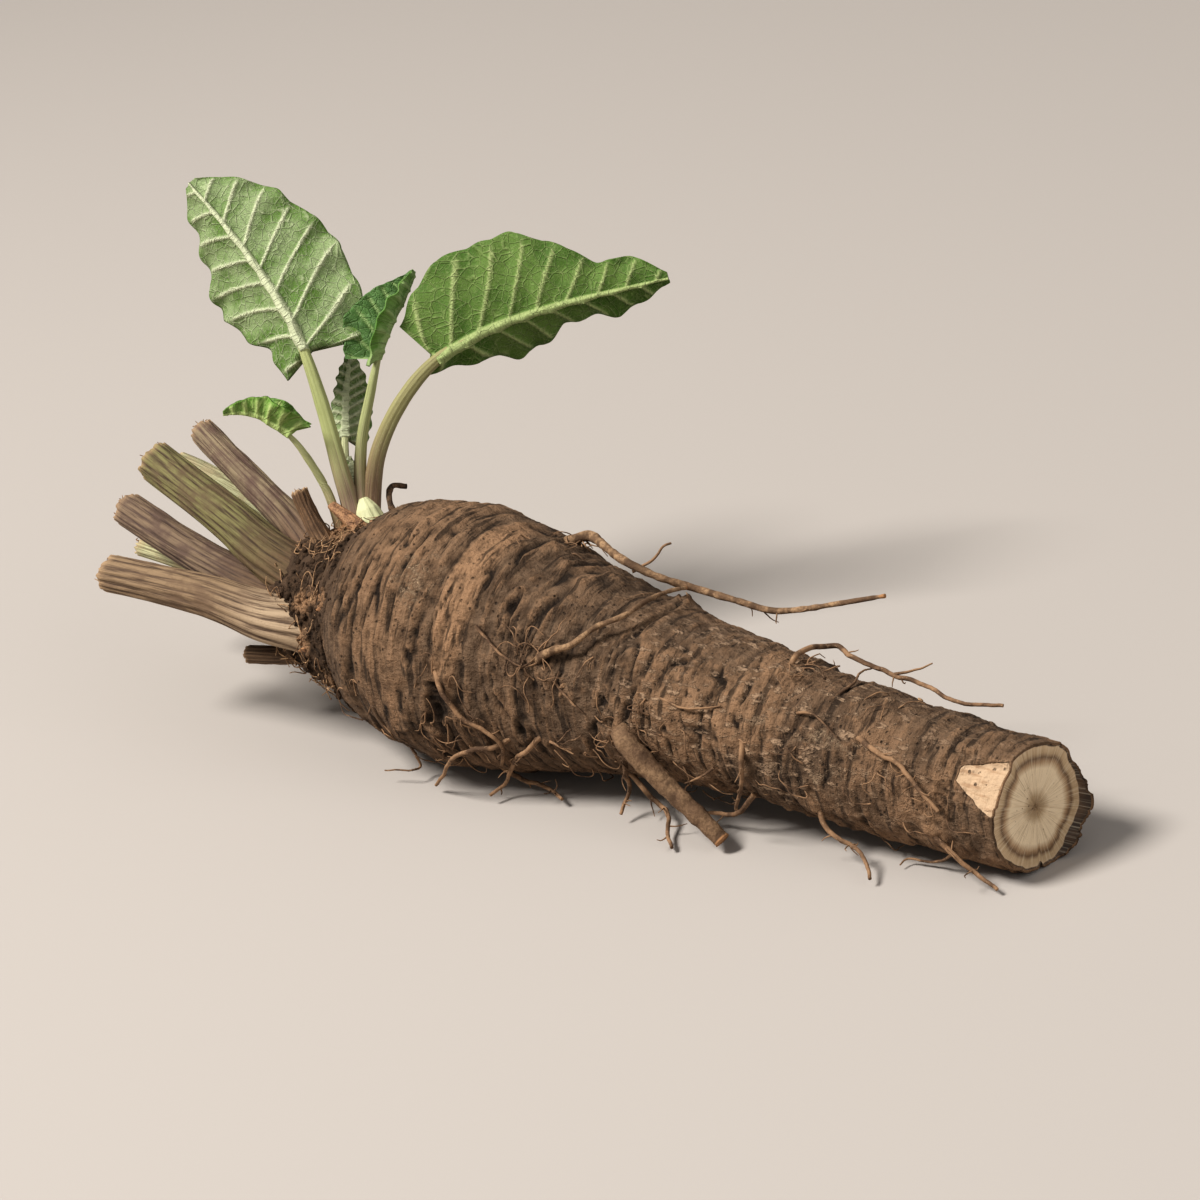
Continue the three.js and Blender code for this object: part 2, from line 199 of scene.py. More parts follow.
def piece(name, materials, solids):
    """A mesh object at the origin, from closed shapes in mm."""
    points = np.vstack([shape["points"] for shape in solids])
    faces, offset = [], 0
    for shape in solids:
        faces += [[corner + offset for corner in face] for face in shape["faces"]]
        offset += len(shape["points"])
    mesh = bpy.data.meshes.new(name)
    mesh.from_pydata((points * MM).tolist(), [], faces)
    for key in sorted({key for shape in solids for key in shape["attributes"]}):
        values = [shape["attributes"].get(key, np.zeros(len(shape["points"]))) for shape in solids]
        layer = mesh.attributes.new(key, "FLOAT", "POINT")
        layer.data.foreach_set("value", np.concatenate(values).astype(np.float32))
    uv = np.vstack([shape["uv"] for shape in solids])
    if uv.any():
        corner = np.zeros(len(mesh.loops), np.int32)
        mesh.loops.foreach_get("vertex_index", corner)
        layer = mesh.uv_layers.new(name="flat")
        layer.data.foreach_set("uv", (uv[corner] * MM).astype(np.float32).ravel())
    for material in materials:
        mesh.materials.append(material)
    indices = np.concatenate([shape["material"] for shape in solids]).astype(np.int32)
    mesh.polygons.foreach_set("material_index", indices)
    return placed(name, mesh)


def placed(name, mesh):
    mesh.polygons.foreach_set("use_smooth", [True] * len(mesh.polygons))
    mesh.update()
    thing = bpy.data.objects.new(name, mesh)
    bpy.context.scene.collection.objects.link(thing)
    return thing


def settle(thing, slot, *nodes):
    """Ties a piece to the root and hides the plain nodes it stands for."""
    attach(thing, BODY)
    if nodes:
        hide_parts(*nodes)
    return thing


# ---- shader maths ------------------------------------------------------------------------------------

class Wire:
    """A shader value that Python arithmetic works on."""

    def __init__(self, sheet, socket):
        self.sheet = sheet
        self.socket = socket

    def math(self, operation, first, second=0.0):
        return self.sheet.node("ShaderNodeMath", {"operation": operation}, {0: first, 1: second})

    def __add__(self, other):
        return self.math("ADD", self, other)

    def __sub__(self, other):
        return self.math("SUBTRACT", self, other)

    def __rsub__(self, other):
        return self.math("SUBTRACT", other, self)

    def __mul__(self, other):
        return self.math("MULTIPLY", self, other)

    __radd__ = __add__
    __rmul__ = __mul__

    def step(self, low, high):
        """0 below low, 1 above high, smooth between."""
        settings = {"interpolation_type": "SMOOTHSTEP"}
        return self.sheet.node("ShaderNodeMapRange", settings, {"Value": self, 1: low, 2: high})


class Sheet:
    """A material under construction."""

    def __init__(self, name):
        self.material = bpy.data.materials.new(name)
        self.material.use_nodes = True
        self.tree = self.material.node_tree
        self.shader = self.tree.nodes["Principled BSDF"]
        self.places = self.node("ShaderNodeTexCoord", output="Object")

    def node(self, kind, settings=None, inputs=None, output=0):
        node = self.tree.nodes.new(kind)
        for key, value in (settings or {}).items():
            if key == "stops":
                ramp = node.color_ramp
                while len(ramp.elements) < len(value):
                    ramp.elements.new(0.5)
                for element, (position, colour) in zip(ramp.elements, value):
                    element.position = position
                    element.color = (*colour, 1)
            else:
                setattr(node, key, value)
        self.fill(node, inputs or {})
        return Wire(self, node.outputs[output])

    def fill(self, node, inputs):
        for key, value in inputs.items():
            if isinstance(value, Wire):
                self.tree.links.new(value.socket, node.inputs[key])
            elif isinstance(value, tuple) and len(value) == 3 and node.inputs[key].type == "RGBA":
                node.inputs[key].default_value = (*value, 1)
            else:
                node.inputs[key].default_value = value

    def attribute(self, name):
        return self.node("ShaderNodeAttribute", {"attribute_name": name}, output="Fac")

    def noise(self, size_mm, detail=3.0, stretch=None, places=None, rough=0.55):
        """Noise from 0 to 1, with features of about that size."""
        places = places or self.places
        if stretch:
            places = self.node("ShaderNodeMapping", inputs={"Vector": places, "Scale": stretch})
        inputs = {"Vector": places, "Scale": 1 / (size_mm * MM), "Detail": detail, "Roughness": rough}
        return self.node("ShaderNodeTexNoise", inputs=inputs)

    def cells(self, size_mm, feature="DISTANCE_TO_EDGE", places=None):
        inputs = {"Vector": places or self.places, "Scale": 1 / (size_mm * MM)}
        return self.node("ShaderNodeTexVoronoi", {"feature": feature}, inputs)

    def mix(self, factor, first, second, blend="MIX"):
        settings = {"data_type": "RGBA", "blend_type": blend}
        return self.node("ShaderNodeMix", settings, {0: factor, 6: first, 7: second}, output=2)

    def finish(self, colour, rough, height=None, height_mm=0.3, **constants):
        self.fill(self.shader, {"Base Color": colour, "Roughness": rough, **constants})
        if height is not None:
            normal = self.node("ShaderNodeBump", inputs={
                "Height": height, "Distance": height_mm * MM, "Strength": 1.0})
            self.fill(self.shader, {"Normal": normal})
        return self.material


# Colours, as linear light.
BARK_DARK = (0.022, 0.014, 0.009)
BARK_BROWN = (0.075, 0.045, 0.026)
BARK_DUST = (0.165, 0.107, 0.067)
# The next tan is real bark tan and also the painted highlight on the bark's ridges.
BARK_TAN_AND_HIGHLIGHT = (0.345, 0.205, 0.115)
BARK_PALE = (0.52, 0.365, 0.235)
# The next dark is real dark soil and also the painted shade in the bark's crevices and the soil's holes.
SOIL_DARK_AND_SHADE = (0.022, 0.014, 0.009)
SOIL_BROWN = (0.085, 0.053, 0.033)
FLESH_BROWN = (0.17, 0.10, 0.05)
ROOTLET_TAN = (0.27, 0.16, 0.088)
ROOTLET_DARK = (0.085, 0.048, 0.027)


def bark_material():
    s = Sheet("bark")
    broad = s.noise(24, 4)
    mottle = s.noise(5, 5, rough=0.65)
    fine = s.noise(1.1, 4, rough=0.7)
    rings = s.noise(2.2, 4, stretch=(1.0, 0.13, 0.13), rough=0.6)
    slits = s.noise(1.5, 3, stretch=(0.35, 1.0, 1.0), rough=0.6)
    pits = s.cells(2.6, "F1")
    pale = s.attribute("pale")
    tan = s.attribute("tan")
    crevice = s.attribute("crevice")
    ridge = s.attribute("ridge")
    soil = s.attribute("soil")
    colour = s.mix(mottle.step(0.32, 0.68), BARK_BROWN, BARK_DUST)
    colour = s.mix(broad.step(0.5, 0.75) * 0.4, colour, BARK_TAN_AND_HIGHLIGHT)
    colour = s.mix(rings.step(0.54, 0.74) * 0.38, colour, BARK_TAN_AND_HIGHLIGHT)
    colour = s.mix((tan * mottle.step(0.25, 0.55)), colour, BARK_TAN_AND_HIGHLIGHT)
    # Painted highlight: tan on the ridges of the relief.
    colour = s.mix(ridge * 0.55 * fine.step(0.3, 0.6), colour, BARK_TAN_AND_HIGHLIGHT)
    colour = s.mix(rings.step(0.47, 0.36) * 0.75, colour, BARK_DARK)
    colour = s.mix((1 - fine).step(0.56, 0.72) * 0.55, colour, BARK_DARK)
    bare = (pale + (mottle - 0.5) * 0.9 + (fine - 0.5) * 0.6).step(0.42, 0.68)
    wood = s.noise(1.6, 3, stretch=(0.12, 1.0, 1.0), rough=0.6)
    colour = s.mix(bare, colour, s.mix(wood.step(0.5, 0.68) * 0.7, BARK_PALE, BARK_TAN_AND_HIGHLIGHT))
    specks = (1 - pits).step(0.76, 0.9) * fine.step(0.42, 0.6)
    colour = s.mix(specks * 0.8, colour, BARK_DARK)
    colour = s.mix(soil * mottle.step(0.2, 0.5) * 0.9, colour, SOIL_BROWN)
    # Painted shade: the creases, holes and hollows of the relief are darkened.
    colour = s.mix(crevice, colour, SOIL_DARK_AND_SHADE)
    flaky = s.noise(2.6, 4, stretch=(0.55, 1.3, 1.3), rough=0.65).step(0.52, 0.64) * s.attribute("flaky")
    colour = s.mix(flaky * 0.7, colour, (0.42, 0.285, 0.185))
    rough = mottle * 0.9 + fine * 0.8 + rings * 1.0 + slits * 0.6 + flaky * 0.5
    height = rough * (1 - bare * 0.6) - specks * 0.5
    return s.finish(colour, 0.93 - bare * 0.12, height, 1.5, **{"Specular IOR Level": 0.25})


def flesh_material():
    """The cut face: a pale core with fine rays, a brown ring under the bark and a dark middle."""
    s = Sheet("cut_flesh")
    ring = s.attribute("ring")
    wobble = s.noise(7, 2) - 0.5
    radius = ring + wobble * 0.10
    across = s.attribute("ray_y")
    upward = s.attribute("ray_z")
    direction = s.node("ShaderNodeCombineXYZ", inputs={0: across, 1: upward, 2: ring * 0.05})
    rays = s.node("ShaderNodeTexNoise", inputs={
        "Vector": direction, "Scale": 34.0, "Detail": 3.0, "Roughness": 0.7})
    grain = s.noise(0.5, 3, rough=0.7)
    stops = [
        (0.0, (0.30, 0.19, 0.10)), (0.16, (0.40, 0.28, 0.16)), (0.30, (0.70, 0.55, 0.37)),
        (0.60, (0.72, 0.57, 0.385)), (0.70, (0.36, 0.23, 0.125)), (0.765, (0.145, 0.082, 0.04)),
        (0.83, (0.44, 0.31, 0.18)), (0.93, (0.54, 0.39, 0.24)), (0.975, (0.10, 0.055, 0.028)),
        (1.0, (0.035, 0.02, 0.012)),
    ]
    colour = s.node("ShaderNodeValToRGB", {"stops": stops}, {0: radius}, output="Color")
    core = (1 - ring).step(0.2, 0.5) * 0.2 + 0.4
    colour = s.mix(rays.step(0.5, 0.72) * core, colour, FLESH_BROWN)
    colour = s.mix(rays.step(0.52, 0.30) * 0.35, colour, (0.74, 0.63, 0.46))
    dots = (1 - s.cells(2.2, "F1")).step(0.86, 0.93) * (ring.step(0.62, 0.15) * 0.9 + 0.05)
    colour = s.mix(dots, colour, (0.09, 0.045, 0.02))
    height = rays * 0.5 + grain * 0.4 - radius.step(0.70, 0.77) * radius.step(0.86, 0.79) * 0.5
    return s.finish(colour, 0.62, height, 0.35)


def soil_material():
    s = Sheet("soil")
    lumps = s.noise(2.5, 5, rough=0.7)
    grit = s.noise(0.6, 3, rough=0.75)
    colour = s.mix(lumps.step(0.36, 0.66), SOIL_DARK_AND_SHADE, SOIL_BROWN)
    colour = s.mix(grit.step(0.56, 0.74) * 0.8, colour, BARK_DUST)
    colour = s.mix(s.attribute("straw") * grit.step(0.3, 0.6), colour, BARK_TAN_AND_HIGHLIGHT)
    # Painted shade: the holes in the soil collar are darkened.
    colour = s.mix(s.attribute("crevice"), colour, SOIL_DARK_AND_SHADE)
    return s.finish(colour, 0.97, lumps + grit * 0.6, 1.1, **{"Specular IOR Level": 0.15})


def rootlet_material():
    s = Sheet("rootlet")
    patches = s.noise(6, 3)
    fine = s.noise(0.7, 3)
    colour = s.mix(patches.step(0.36, 0.62), ROOTLET_DARK, ROOTLET_TAN)
    colour = s.mix(fine.step(0.55, 0.75) * 0.5, colour, (0.5, 0.33, 0.2))
    return s.finish(colour, 0.85, fine, 0.2, **{"Specular IOR Level": 0.3})


def side_root_material(name, light):
    s = Sheet(name)
    patches = s.noise(5, 4, rough=0.6)
    fine = s.noise(0.9, 4, rough=0.7)
    ringed = s.attribute("knot")
    colour = s.mix(patches.step(0.36, 0.64), (0.15, 0.09, 0.052), light)
    colour = s.mix(fine.step(0.56, 0.42) * 0.55, colour, (0.09, 0.052, 0.03))
    colour = s.mix(ringed * 0.75, colour, (0.075, 0.043, 0.025))
    colour = s.mix(s.attribute("cut"), colour, (0.36, 0.19, 0.09))
    return s.finish(colour, 0.88, patches + fine, 0.4, **{"Specular IOR Level": 0.25})


def stub_material(name, rib, groove, blotch, foot):
    """A dry leaf stalk: pale ribs, dark grooves, blotches, and a bleached foot."""
    s = Sheet(name)
    run = s.attribute("run")
    crest = s.attribute("crest")
    down = s.node("ShaderNodeCombineXYZ", inputs={
        0: s.attribute("round_y") * 0.012, 1: s.attribute("round_z") * 0.012, 2: run * 0.004})
    streaks = s.noise(0.9, 4, places=down, rough=0.65)
    patches = s.noise(9, 4)
    grit = s.noise(0.8, 3, rough=0.7)
    mask = (crest * 0.6 + (streaks - 0.5) * 2.2 + 0.2).step(0.15, 0.9)
    colour = s.mix(mask, groove, rib)
    colour = s.mix(patches.step(0.45, 0.65) * 0.8, colour, blotch)
    dusty = (1 - run).step(0.45, 0.95) * grit.step(0.3, 0.6) * 0.75
    colour = s.mix(dusty, colour, SOIL_BROWN)
    colour = s.mix(s.attribute("foot") * mask, colour, foot)
    colour = s.mix(streaks.step(0.44, 0.30) * 0.6, colour, (0.035, 0.022, 0.014))
    colour = s.mix(grit.step(0.60, 0.74) * 0.5, colour, BARK_DUST)
    tip = s.attribute("cut")
    colour = s.mix(tip * grit.step(0.2, 0.55), colour, (0.52, 0.345, 0.20))
    colour = s.mix(s.attribute("hollow"), colour, (0.10, 0.06, 0.03))
    return s.finish(colour, 0.8, streaks + grit * 0.35, 0.35, **{"Specular IOR Level": 0.3})


def leaf_material(name, under, under_green, upper, vein):
    """Upper and under sides differ; veins are pale, and the finest net is drawn on the flat pattern."""
    s = Sheet(name)
    flat = s.node("ShaderNodeUVMap", {"uv_map": "flat"})
    veins = s.attribute("vein")
    edge = s.attribute("edge")
    below = s.attribute("below")
    net = s.cells(3.0, places=flat)
    mesh = s.cells(1.0, places=flat)
    drift = s.noise(11, 3)
    fine = s.noise(0.7, 3, rough=0.7)
    lines = net.step(0.07, 0.01)
    thin = mesh.step(0.09, 0.02)
    felt = s.mix(drift.step(0.42, 0.66), under, under_green)
    felt = s.mix(edge * drift.step(0.35, 0.55), felt, under_green)
    felt = s.mix(thin * 0.22, felt, vein)
    felt = s.mix(fine.step(0.45, 0.75) * 0.16, felt, vein)
    top = s.mix(drift.step(0.35, 0.7) * 0.6, upper, tuple(0.62 * c for c in upper))
    top = s.mix(fine.step(0.5, 0.8) * 0.25, top, vein)
    colour = s.mix(below, top, felt)
    pale = veins + lines * (0.12 + below * 0.2)
    colour = s.mix(pale.step(0.05, 0.95), colour, vein)
    height = (veins * 1.2 + lines * 0.7 + thin * 0.35) * (below * 2 - 1) + fine * 0.25
    return s.finish(colour, 0.6 + below * 0.15, height, 0.35, **{"Specular IOR Level": 0.35})


def stalk_material(name, low, high):
    s = Sheet(name)
    run = s.attribute("run")
    down = s.node("ShaderNodeCombineXYZ", inputs={
        0: s.attribute("round_y") * 0.01, 1: s.attribute("round_z") * 0.01, 2: run * 0.004})
    streaks = s.noise(1.3, 3, places=down)
    fine = s.noise(0.6, 3, rough=0.7)
    colour = s.mix((run + (streaks - 0.5) * 0.5).step(0.12, 0.55), low, high)
    colour = s.mix(streaks.step(0.55, 0.7) * 0.45, colour, (0.46, 0.47, 0.26))
    colour = s.mix(streaks.step(0.44, 0.34) * 0.5, colour, (0.13, 0.105, 0.06))
    colour = s.mix(fine.step(0.55, 0.8) * 0.35, colour, (0.55, 0.52, 0.38))
    return s.finish(colour, 0.62, streaks + fine * 0.4, 0.25)


def plain_material(name, dark, light, size=3.0, rough=0.85):
    s = Sheet(name)
    patches = s.noise(size, 4, rough=0.65)
    fine = s.noise(size * 0.25, 3, rough=0.7)
    colour = s.mix(patches.step(0.35, 0.65), dark, light)
    colour = s.mix(fine.step(0.5, 0.36) * 0.5, colour, tuple(0.4 * c for c in dark))
    return s.finish(colour, rough, patches + fine, 0.4)


BARK = bark_material()
FLESH = flesh_material()
SOIL = soil_material()
ROOTLET = rootlet_material()
STRAW = plain_material("straw", (0.16, 0.085, 0.042), (0.45, 0.28, 0.15), 2.5)
SCAR = plain_material("torn_leaf_base", (0.12, 0.062, 0.03), (0.48, 0.24, 0.105), 2.2, 0.7)
DARK_SCALE = plain_material("dry_scale", (0.045, 0.026, 0.015), (0.19, 0.11, 0.06), 1.6)


# ---- the taproot -------------------------------------------------------------------------------------

CUT_END = 204.5
CUT_SLANT = math.radians(7)
LAST_X = CUT_END + 7
CENTRE_LINE = [
    (-74, 0, 40), (-60, 0, 39.5), (-45, 0, 38.5), (-20, 0, 38), (0, 0, 37.5), (20, 0.5, 36),
    (40, 1, 34.4), (60, 0.5, 32.4), (80, 0, 30.4), (100, 0, 28.6), (120, 0, 26.4), (140, 0, 23.7),
    (160, 0, 21.4), (180, 0, 19.6), (195, 0, 18.4), (LAST_X, 0, 17.3),
]
GIRTH = [
    (-74, 13), (-71, 18), (-66, 20.5), (-60, 22), (-50, 23.5), (-42, 25.5), (-36, 29), (-28, 33.8),
    (-18, 37), (-6, 38.4), (6, 38.5), (20, 36.6), (40, 31.8), (60, 28), (80, 25.5), (100, 23.4),
    (120, 22), (140, 21), (160, 20), (180, 19), (195, 18.3), (LAST_X, 17.3),
]
FIRST_X = CENTRE_LINE[0][0]


def smooth_table(table, column, blur=3.5):
    """A table read as a smooth curve."""
    fine = np.arange(FIRST_X - 20, LAST_X + 20, 0.5)
    raw = np.interp(fine, [row[0] for row in table], [row[column] for row in table])
    reach = np.arange(-3 * blur, 3 * blur + 0.25, 0.5)
    weight = np.exp(-0.5 * (reach / blur) ** 2)
    soft = np.convolve(np.pad(raw, len(reach) // 2, "edge"), weight / weight.sum(), "valid")
    return lambda x: np.interp(x, fine, soft)


centre_y = smooth_table(CENTRE_LINE, 1)
centre_z = smooth_table(CENTRE_LINE, 2)
girth = smooth_table(GIRTH, 1)


def on_root(x, angle, reach):
    """The place at that distance from the centre line; the angle is in radians."""
    return np.stack(np.broadcast_arrays(
        x, centre_y(x) - reach * np.sin(angle), centre_z(x) + reach * np.cos(angle)), -1)


def off_skin(rows):
    """Places from rows of [x, degrees round from the top, mm off the skin]."""
    x, degrees, lift = np.array(rows, float).T
    return on_root(x, np.radians(degrees), girth(x) + lift)


def round_the_root(x, degrees, turn):
    """How far round the skin, in mm, from one angle to another."""
    return np.radians((degrees - turn + 180) % 360 - 180) * girth(x)


def patch(x, degrees, centre, size, slope=3.0):
    """1 inside an oval of the skin, falling to 0 past its edge; sizes are x in mm and degrees."""
    turn = (degrees - centre[1] + 180) % 360 - 180
    distance = np.hypot((x - centre[0]) / size[0], turn / size[1])
    return 1 - between(1 - 0.5 / slope, 1 + 1 / slope, distance)


def soften(values, rows, columns):
    """A blur over a grid whose columns go round."""
    total = np.zeros_like(values)
    padded = np.pad(values, ((rows, rows), (0, 0)), "edge")
    for k in range(2 * rows + 1):
        total += padded[k:k + len(values)]
    total /= 2 * rows + 1
    return sum(np.roll(total, k, 1) for k in range(-columns, columns + 1)) / (2 * columns + 1)


KNOT_HOLES = [  # x, degrees, width, depth
    (45, 103, 2.2, 1.4), (20, 90, 3.6, 1.8), (17, 101, 3.0, 1.6), (11, 71, 1.6, 1.1), (76, 73, 2.8, 1.8),
    (84, 76, 2.6, 1.9), (40, 34, 2.4, 1.0), (60, -140, 3.0, 1.5), (5, -60, 2.4, 1.2), (30, -110, 2.8, 1.4),
    (110, 170, 2.2, 1.2), (140, -120, 2.2, 1.2),
]
KNOBS = [  # x, degrees, width, height
    (50, 57, 3.4, 2.4), (53, 64, 2.6, 1.6), (5, 103, 4.5, 2.2), (1, 112, 4.0, 1.8), (3, 95, 3.0, 1.5),
    (58, 66, 3.2, 1.8), (64, 73, 3.0, 1.6), (80, 88, 5.0, 2.2), (78, 78, 3.5, 1.4), (37, -12, 4.0, 1.8),
    (46, -4, 4.0, 2.2), (54, 2, 3.4, 1.8), (57, -14, 4.0, 2.0), (75, -41, 4.0, 2.4), (127, 10, 4.0, 1.4),
    (160, 5, 3.4, 1.3), (24, 78, 2.4, 1.2), (143, 112, 2.6, 1.2), (182, 103, 2.4, 1.2), (158, 38, 2.0, 1.0),
    (100, -150, 4.5, 1.8), (20, -90, 4.5, 1.8), (150, -80, 3.4, 1.4), (-5, 150, 4.0, 0.8),
]


def root_relief(x, angle):
    """How far the skin stands off the plain root, and the marks that its finish follows."""
    degrees = np.degrees(angle)
    plain = on_root(x, angle, girth(x))
    warp = 2.6 * noise(plain, 22, 3) + 1.1 * noise(plain, 7, 4)
    slant = 3.0 * np.sin(angle - 0.6)
    swept = plain.copy()
    swept[..., 0] += warp + slant

    folds = 0.5 * noise(swept, (5.5, 34, 34), 11) + 0.34 * noise(swept, (2.4, 20, 20), 12)
    folds = folds + 0.3 * noise(swept, (1.7, 8, 8), 17)
    line = noise(swept, (3.4, 24, 24), 13)
    present = between(-0.35, 0.45, noise(plain, 15, 14))
    crease = np.exp(-((line / 0.11) ** 2)) * present
    thin_line = noise(swept, (2.0, 15, 15), 15)
    thin = np.exp(-((thin_line / 0.14) ** 2)) * between(-0.2, 0.5, noise(plain, 9, 16))
    lips = bump(line, 0.24, 0.12) * present

    scaly = between(60, 105, x + 8 * noise(plain, 14, 18))
    level = 2.2 * layered(swept, (9, 12, 12), 19)
    stepped = (np.floor(level) + between(0.62, 1.0, level - np.floor(level))) * 0.55
    grain = layered(plain, 2.6, 23, 3)

    relief = 0.7 * layered(plain, 34, 31) + folds - 1.0 * crease - 0.45 * thin + 0.45 * lips
    relief = relief + scaly * stepped * 0.95 + 0.5 * grain
    girdle = between(-30, -6, x) * (1 - between(28, 60, x))
    relief = relief + girdle * 0.55 * noise(swept, (3.0, 60, 60), 41)

    # The mark for creases, thin lines and knot holes is painted shade: the bark colour is darkened there.
    crevice = 0.8 * crease + 0.45 * thin
    for place, turn, width, depth in KNOT_HOLES:
        # Holes are narrow along the root and long round it.
        away = np.hypot(1.5 * (x - place), 0.7 * round_the_root(x, degrees, turn))
        ragged = away * (1 + 0.7 * noise(plain, 2.4, int(place) + 90))
        hole = np.exp(-((ragged / width) ** 4))
        relief = relief - 0.75 * depth * hole + 0.6 * bump(ragged, 1.35 * width, 0.45 * width)
        crevice = crevice + 0.6 * hole
    for place, turn, width, height in KNOBS:
        away = np.hypot(x - place, round_the_root(x, degrees, turn))
        relief = relief + height * np.exp(-((away / width) ** 2)) * (1 + 0.5 * noise(plain, 2.0, 7))

    ragged = noise(plain, 3, 57)
    patched = between(185, 187, x + ragged) * between(24, 28, degrees)
    patched = patched * between(66, 62, degrees + 3 * ragged)
    window = between(190.6, 191.6, x + 0.6 * ragged)
    window = window * between(225 - x, 228 - x, degrees + 2 * ragged)
    window = window * between(54 + 1.6 * (x - 191), 51 + 1.6 * (x - 191), degrees + 2 * ragged)
    relief = relief * (1 - 0.75 * window) - 0.75 * patched - 0.35 * window
    neck = 1 - between(-40, -30, x)
    relief = relief + neck * 0.9 * layered(plain, 5, 51)

    pale = 0.5 * patch(x, degrees, (9, 37), (10, 13), 0.8)
    streaked = between(-0.2, 0.55, noise(plain, (7, 3.2, 3.2), 61))
    pale = pale + 0.3 * patch(x, degrees, (118, 42), (34, 40), 0.8) * streaked
    pale = pale + 0.3 * patch(x, degrees, (150, 70), (24, 26), 1.0) + 1.3 * window
    worn = between(0, 0.5, noise(plain, 9, 62))
    pale = pale + 0.35 * patch(x, degrees, (95, -120), (40, 50), 1.0) * worn
    tan = 0.9 * patch(x, degrees, (23, 30), (5.0, 46), 2.0)
    tan = tan + 0.5 * patch(x, degrees, (-2, 20), (12, 60), 1.0)
    tan = tan + 0.55 * scaly * between(-0.2, 0.4, noise(plain, 18, 63)) + 0.6 * window
    relief = relief + 0.5 * patch(x, degrees, (22, 30), (4.5, 44), 2.0)

    blurred = soften(relief, 4, 4)
    proud = relief - blurred
    # Painted shade goes into the creases, holes and hollows below the blurred relief, and a painted
    # highlight onto what stands proud of it.
    marks = {
        "crevice": np.clip(crevice * 0.7 + between(0.16, 0.85, -proud), 0, 1) * (1 - 0.7 * window),
        "ridge": between(0.05, 0.6, proud),
        "pale": np.clip(pale, 0, 1.3),
        "tan": np.clip(tan, 0, 1),
        "flaky": np.clip(patch(x, degrees, (120, 45), (34, 46), 0.7) + 0.35 * scaly, 0, 1),
        "soil": np.clip(1 - between(-36, -22, x + 6 * noise(plain, 9, 71)), 0, 1),
    }
    return relief - 0.35, marks


def taproot():
    around = 250
    stations = np.concatenate([np.linspace(FIRST_X + 1, -58, 12, endpoint=False),
                               np.arange(-58, CUT_END - 2.5, 0.76), [CUT_END - 1.2, CUT_END - 0.3]])
    angle = np.arange(around) * 2 * math.pi / around
    x, turn = np.meshgrid(stations, angle, indexing="ij")
    # The stations close to the cut lean with it, so the last ring lies in the cut face.
    lean = between(CUT_END - 26, CUT_END, x)
    relief, marks = root_relief(x, turn)
    share = (x - FIRST_X) / (LAST_X - FIRST_X)
    lumps = 0.018 * np.sin(2 * turn + 9 * share) + 0.014 * np.sin(3 * turn - 14 * share)
    reach = girth(x) * (1 + lumps) + relief
    points = on_root(x, turn, reach)
    points[..., 0] += lean * points[..., 1] * math.tan(CUT_SLANT)

    # The rim of bark, torn and standing proud on the far side, then the cut face in rings.
    rim = points[-1]
    hub = np.array([CUT_END, 0, centre_z(CUT_END)])
    outward = rim - hub
    ragged = layered(np.stack([np.cos(angle) * 6, np.sin(angle) * 6, angle * 0], -1) * 4, 3.0, 81)
    degrees = np.degrees(angle)
    fringe = patch(np.zeros(around), degrees, (0, 248), (1, 34), 2.5)
    fringe = fringe + 0.5 * patch(np.zeros(around), degrees, (0, 206), (1, 10), 2.5)
    stand = 0.35 + 0.25 * ragged + fringe * (2.6 + 2.2 * ragged)
    stand = np.clip(stand, 0.1, 4.0)
    rings = [(1.0, stand * 0.55), (0.992, stand), (0.955, stand * 0.9), (0.945, stand * 0)]
    shares = np.linspace(0.93, 0.02, 20)
    rings += [(share, np.full(around, -0.5 * (1 - share))) for share in shares]
    face = []
    for share, forward in rings:
        ring = hub + outward * share
        ring[:, 0] = CUT_END + ring[:, 1] * math.tan(CUT_SLANT) + forward
        face.append(ring)
    face = np.array(face)
    ray = outward / np.linalg.norm(outward[:, 1:], axis=1, keepdims=True)
    face[4:, :, 0] += 0.12 * noise(np.stack([ray[:, 1], ray[:, 2], ray[:, 0]], -1)[None] * 14
                                   + np.zeros((len(shares), 1, 1)), 1.0, 83)

    def lengthened(values, fill):
        return np.vstack([values, np.broadcast_to(fill, (len(rings), around))])

    ring_share = np.array([1.0, 1.0, 1.0, 0.985, *shares])[:, None]
    attributes = {key: lengthened(values, values[-1] * (key != "pale")) for key, values in marks.items()}
    attributes["ring"] = lengthened(np.ones_like(x), ring_share)
    attributes["ray_y"] = lengthened(np.zeros_like(x), ray[:, 1])
    attributes["ray_z"] = lengthened(np.zeros_like(x), ray[:, 2])
    points = np.concatenate([points, face])
    low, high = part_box("taproot")
    points[..., 2] = np.clip(points[..., 2], 0, high.z / MM)
    points[..., 1] = np.clip(points[..., 1], low.y / MM, high.y / MM)
    points[..., 0] = np.minimum(points[..., 0], high.x / MM)
    skin = solid(Grid(points, attributes), cut_from=len(x) + 2)
    return settle(piece("taproot_skin", [BARK, FLESH], [skin]), "bark", "taproot")


# ---- shapes made by geometry nodes -------------------------------------------------------------------

